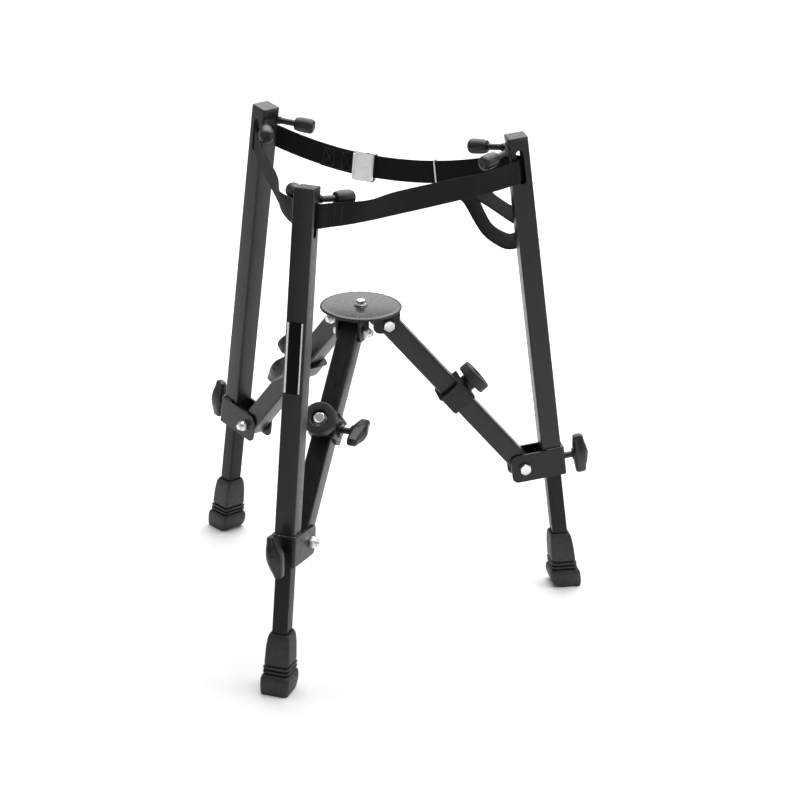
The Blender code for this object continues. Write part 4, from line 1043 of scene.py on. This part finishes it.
TAIL_ROUTE = (
    ((-86.5, 66.4, -64), (0, 0, -1)),
    ((-74, 60, -66), (-0.1, -0.1, -1)),
    ((-58, 56, -81.5), (-0.59, -0.65, -0.49)),
    ((-51, 53, -99), (-0.7, -0.71, 0.08)),
    ((-46.5, 50.5, -113), (-0.66, -0.75, 0.07)),
    ((-39.5, 47, -129), (-0.62, -0.79, 0)),
    ((-28.5, 43.5, -141), (-0.55, -0.82, -0.16)),
    ((-15, 40, -148.5), (-0.37, -0.87, -0.32)),
    ((-2, 38, -145.5), (-0.15, -0.92, -0.37)),
    ((8, 37, -132), (-0.2, -0.96, -0.2)),
    ((7, 36, -121), (-0.3, -0.95, -0.1)),
    ((-2, 34, -115.5), (-0.48, -0.81, -0.34)),
    ((-12.5, 32.5, -108), (-0.54, -0.84, -0.12)),
    ((-30, 36.5, -92), (-0.53, -0.84, -0.12)),
    ((-44.5, 45, -79), (-0.55, -0.77, -0.32)),
)


def smooth_route(route, steps):
    """A Catmull-Rom curve through (place, width direction) pairs given in millimetres."""
    places = [(Vector(place) * MM, Vector(width)) for place, width in route]
    padded = [places[0]] + places + [places[-1]]
    path = []
    for before, start, end, after in zip(padded, padded[1:], padded[2:], padded[3:]):
        for step in range(steps):
            u = step / steps
            mixed = []
            for a, b, c, d in zip(before, start, end, after):
                bend = (2 * a - 5 * b + 4 * c - d) * u**2 + (3 * (b - c) + d - a) * u**3
                mixed.append(0.5 * (2 * b + (c - a) * u + bend))
            path.append((mixed[0], mixed[1].normalized()))
    path.append(places[-1])
    return path


def tail():
    """The loose tail behind the right leg."""
    leg = legs["right"]
    turn = leg.to_3x3()
    path = [(leg @ point, turn @ across) for point, across in smooth_route(TAIL_ROUTE, 8)]
    fold_with(sewn("strap_loose_end", band(path, seed=5), "right", ("strap_tail",)))


def stitch(start, end):
    """One raised stitch between two points, with its placing matrix."""
    return tube_along([start.lerp(end, step / 4) for step in range(5)], 0.28 * MM, 6), HERE


def sewn_end():
    """The doubled webbing that holds the buckle, with its box stitch, on the strap's inner side."""
    low, high = 0.20, 0.340
    steps = 16
    path = [span_at("left", "right", -1, low + (high - low) * i / steps) for i in range(steps + 1)]
    layer = WEB_THICK + 0.1 * MM
    inner = inner_sign(path)
    doubled = band(path, WEB_WIDTH - 0.3 * MM, WEB_THICK - 0.2 * MM, inner * layer, 9)
    fold_with(sewn("strap_sewn_end", doubled, "left"))
    seam = 11 * MM
    boxes = ((0.06, 0.38), (0.62, 0.94))
    lines = [((share, -seam), (share, seam)) for box in boxes for share in box]
    for side in (-seam, seam):
        lines += [((start, side), (end, side)) for start, end in boxes]
    for start, end in boxes:
        lines += [((start, -seam), (end, seam)), ((start, seam), (end, -seam))]
    total = sum((b[0] - a[0]).length for a, b in zip(path, path[1:]))
    parts = []
    for (s0, w0), (s1, w1) in lines:
        reach = math.hypot((s1 - s0) * total, w1 - w0)
        count = max(2, round(reach / (3.1 * MM)))
        for i in range(count):
            ends = []
            for share in ((i + 0.08) / count, (i + 0.86) / count):
                u = low + (high - low) * (s0 + (s1 - s0) * share)
                point, across, normal = across_band("left", "right", -1, u)
                away = normal * (inner * (layer + WEB_THICK / 2))
                ends.append(point + across * (w0 + (w1 - w0) * share) + away)
            parts.append(stitch(*ends))
    fold_with(sewn("strap_stitches", joined(*parts), "left", finish="thread", smooth=35))


def inner_sign(path):
    """Which side of the band faces the hub's axis: 1 for its normal's side, -1 for the other."""
    point, across = path[len(path) // 2]
    heading = (path[-1][0] - path[0][0]).normalized()
    normal = heading.cross(across)
    return 1 if normal.dot(hub_middle - point) > 0 else -1


def across_band(first, second, sign, u):
    """A point of a span's webbing, with its width direction and its normal."""
    point, across = span_at(first, second, sign, u)
    ahead = span_at(first, second, sign, u + 0.01)[0]
    heading = (ahead - point).normalized()
    across = square_to(heading, across)
    return point, across, heading.cross(across)


def hems():
    """Rows of stitches where the webbing is joined, close behind the front leg's slot."""
    parts = []
    rows, half, length = 8, 11 * MM, 2.2 * MM
    for u in (0.055, 0.085):
        point, across, normal = across_band("front", "right", 1, u)
        away = 1 if normal.dot(hub_middle - point) < 0 else -1
        start = point + normal * (away * (WEB_THICK / 2 + 0.05 * MM))
        for i in range(rows):
            w = -half + 2 * half * i / rows
            parts.append(stitch(start + across * w, start + across * (w + length)))
    fold_with(sewn("strap_front_stitches", joined(*parts), "front", finish="thread", smooth=35))


def webbing():
    for side in SIDES:
        passage(side)
        for sign in (1, -1):
            half_span(side, sign)
    tail()
    sewn_end()
    hems()


# ---------------- carried-over nodes


def dress_frame_nodes():
    """The buckle and the keeper keep their frame meshes, with a plated finish and their vertices merged; the
    buckle's edges are softened.
    """
    for name in ("buckle_frame", "buckle_lever", "strap_keeper"):
        node = frame["nodes"][name]
        node.data.materials.clear()
        node.data.materials.append(finishes["bright_steel"])
        weld = node.modifiers.new("Weld", "WELD")
        weld.merge_threshold = 0.00001
        if name != "strap_keeper":
            round_edges(node, 0.35 * MM, 2, 40)


# ---------------- stage


LAMPS = (  # name, place, aim, width, height, power
    ("overhead", (0.2, 0.8, 2.2), (0.1, 0.4, 0), 3.0, 2.6, 86),
    ("right_box", (2.9, 0.6, 1.4), (0, 0.2, 0.3), 1.6, 2.2, 16),
    ("left_box", (-2.6, -0.6, 1.7), (0, 0, 0.35), 1.4, 2.0, 8),
    ("back_box", (-0.57, 3.2, 2.44), (0.03, 1.45, 0.04), 4.4, 2.3, 80),
    ("front_panel", (0.8, -6.0, 1.2), (0, 0, 0.5), 6.0, 2.0, 46),
)


def stage():
    """A pale floor under large soft lamps."""
    world = bpy.data.worlds.new("studio")
    world.use_nodes = True
    sky = world.node_tree.nodes["Background"].inputs
    sky["Color"].default_value = (1, 1, 1, 1)
    sky["Strength"].default_value = 0.13
    bpy.context.scene.world = world
    bpy.context.scene.view_settings.view_transform = "Standard"

    bm = bmesh.new()
    bmesh.ops.create_grid(bm, x_segments=8, y_segments=8, size=12.0)
    floor = add_object("floor", mesh_of("floor", bm))
    paper = Finish("paper", 0.9, specular=0.1)
    shade = paper.mix(paper.noise(3, 2), (0.90, 0.90, 0.90), (0.93, 0.93, 0.93))
    floor.data.materials.append(paper.done(shade))

    for name, place, aim, width, height, power in LAMPS:
        lamp = bpy.data.lights.new(name, "AREA")
        lamp.shape = "RECTANGLE"
        lamp.size, lamp.size_y = width, height
        lamp.energy = power
        holder = add_object(name, lamp)
        holder.location = place
        holder.rotation_euler = (Vector(aim) - Vector(place)).to_track_quat("-Z", "Y").to_euler()


def camera():
    """A long lens from the front right, a little above the stand."""
    backwards = Vector((0.2973, -0.8758, 0.3803)).normalized()
    across = square_to(backwards, Vector((0.9443, 0.3286, 0.0185)))
    turn = Matrix((across, backwards.cross(across), backwards)).transposed().to_4x4()
    data = bpy.data.cameras.new("camera")
    data.lens = 129.8
    data.sensor_width = 36
    holder = add_object("camera", data)
    holder.matrix_world = Matrix.Translation(hub_middle + Vector((1.1051, -3.1001, 1.6221))) @ turn
    bpy.context.scene.camera = holder


# ---------------- the whole stand

camera()
for side in SIDES:
    leg_tube(side)
    plug(side)
    bracket(side)
    prongs(side)
    rubber_foot(side)
    foot_tube(side)
    arm_tube(side)
    collar(side)
    knobs(side)
hub()
label()
webbing()
dress_frame_nodes()
stage()
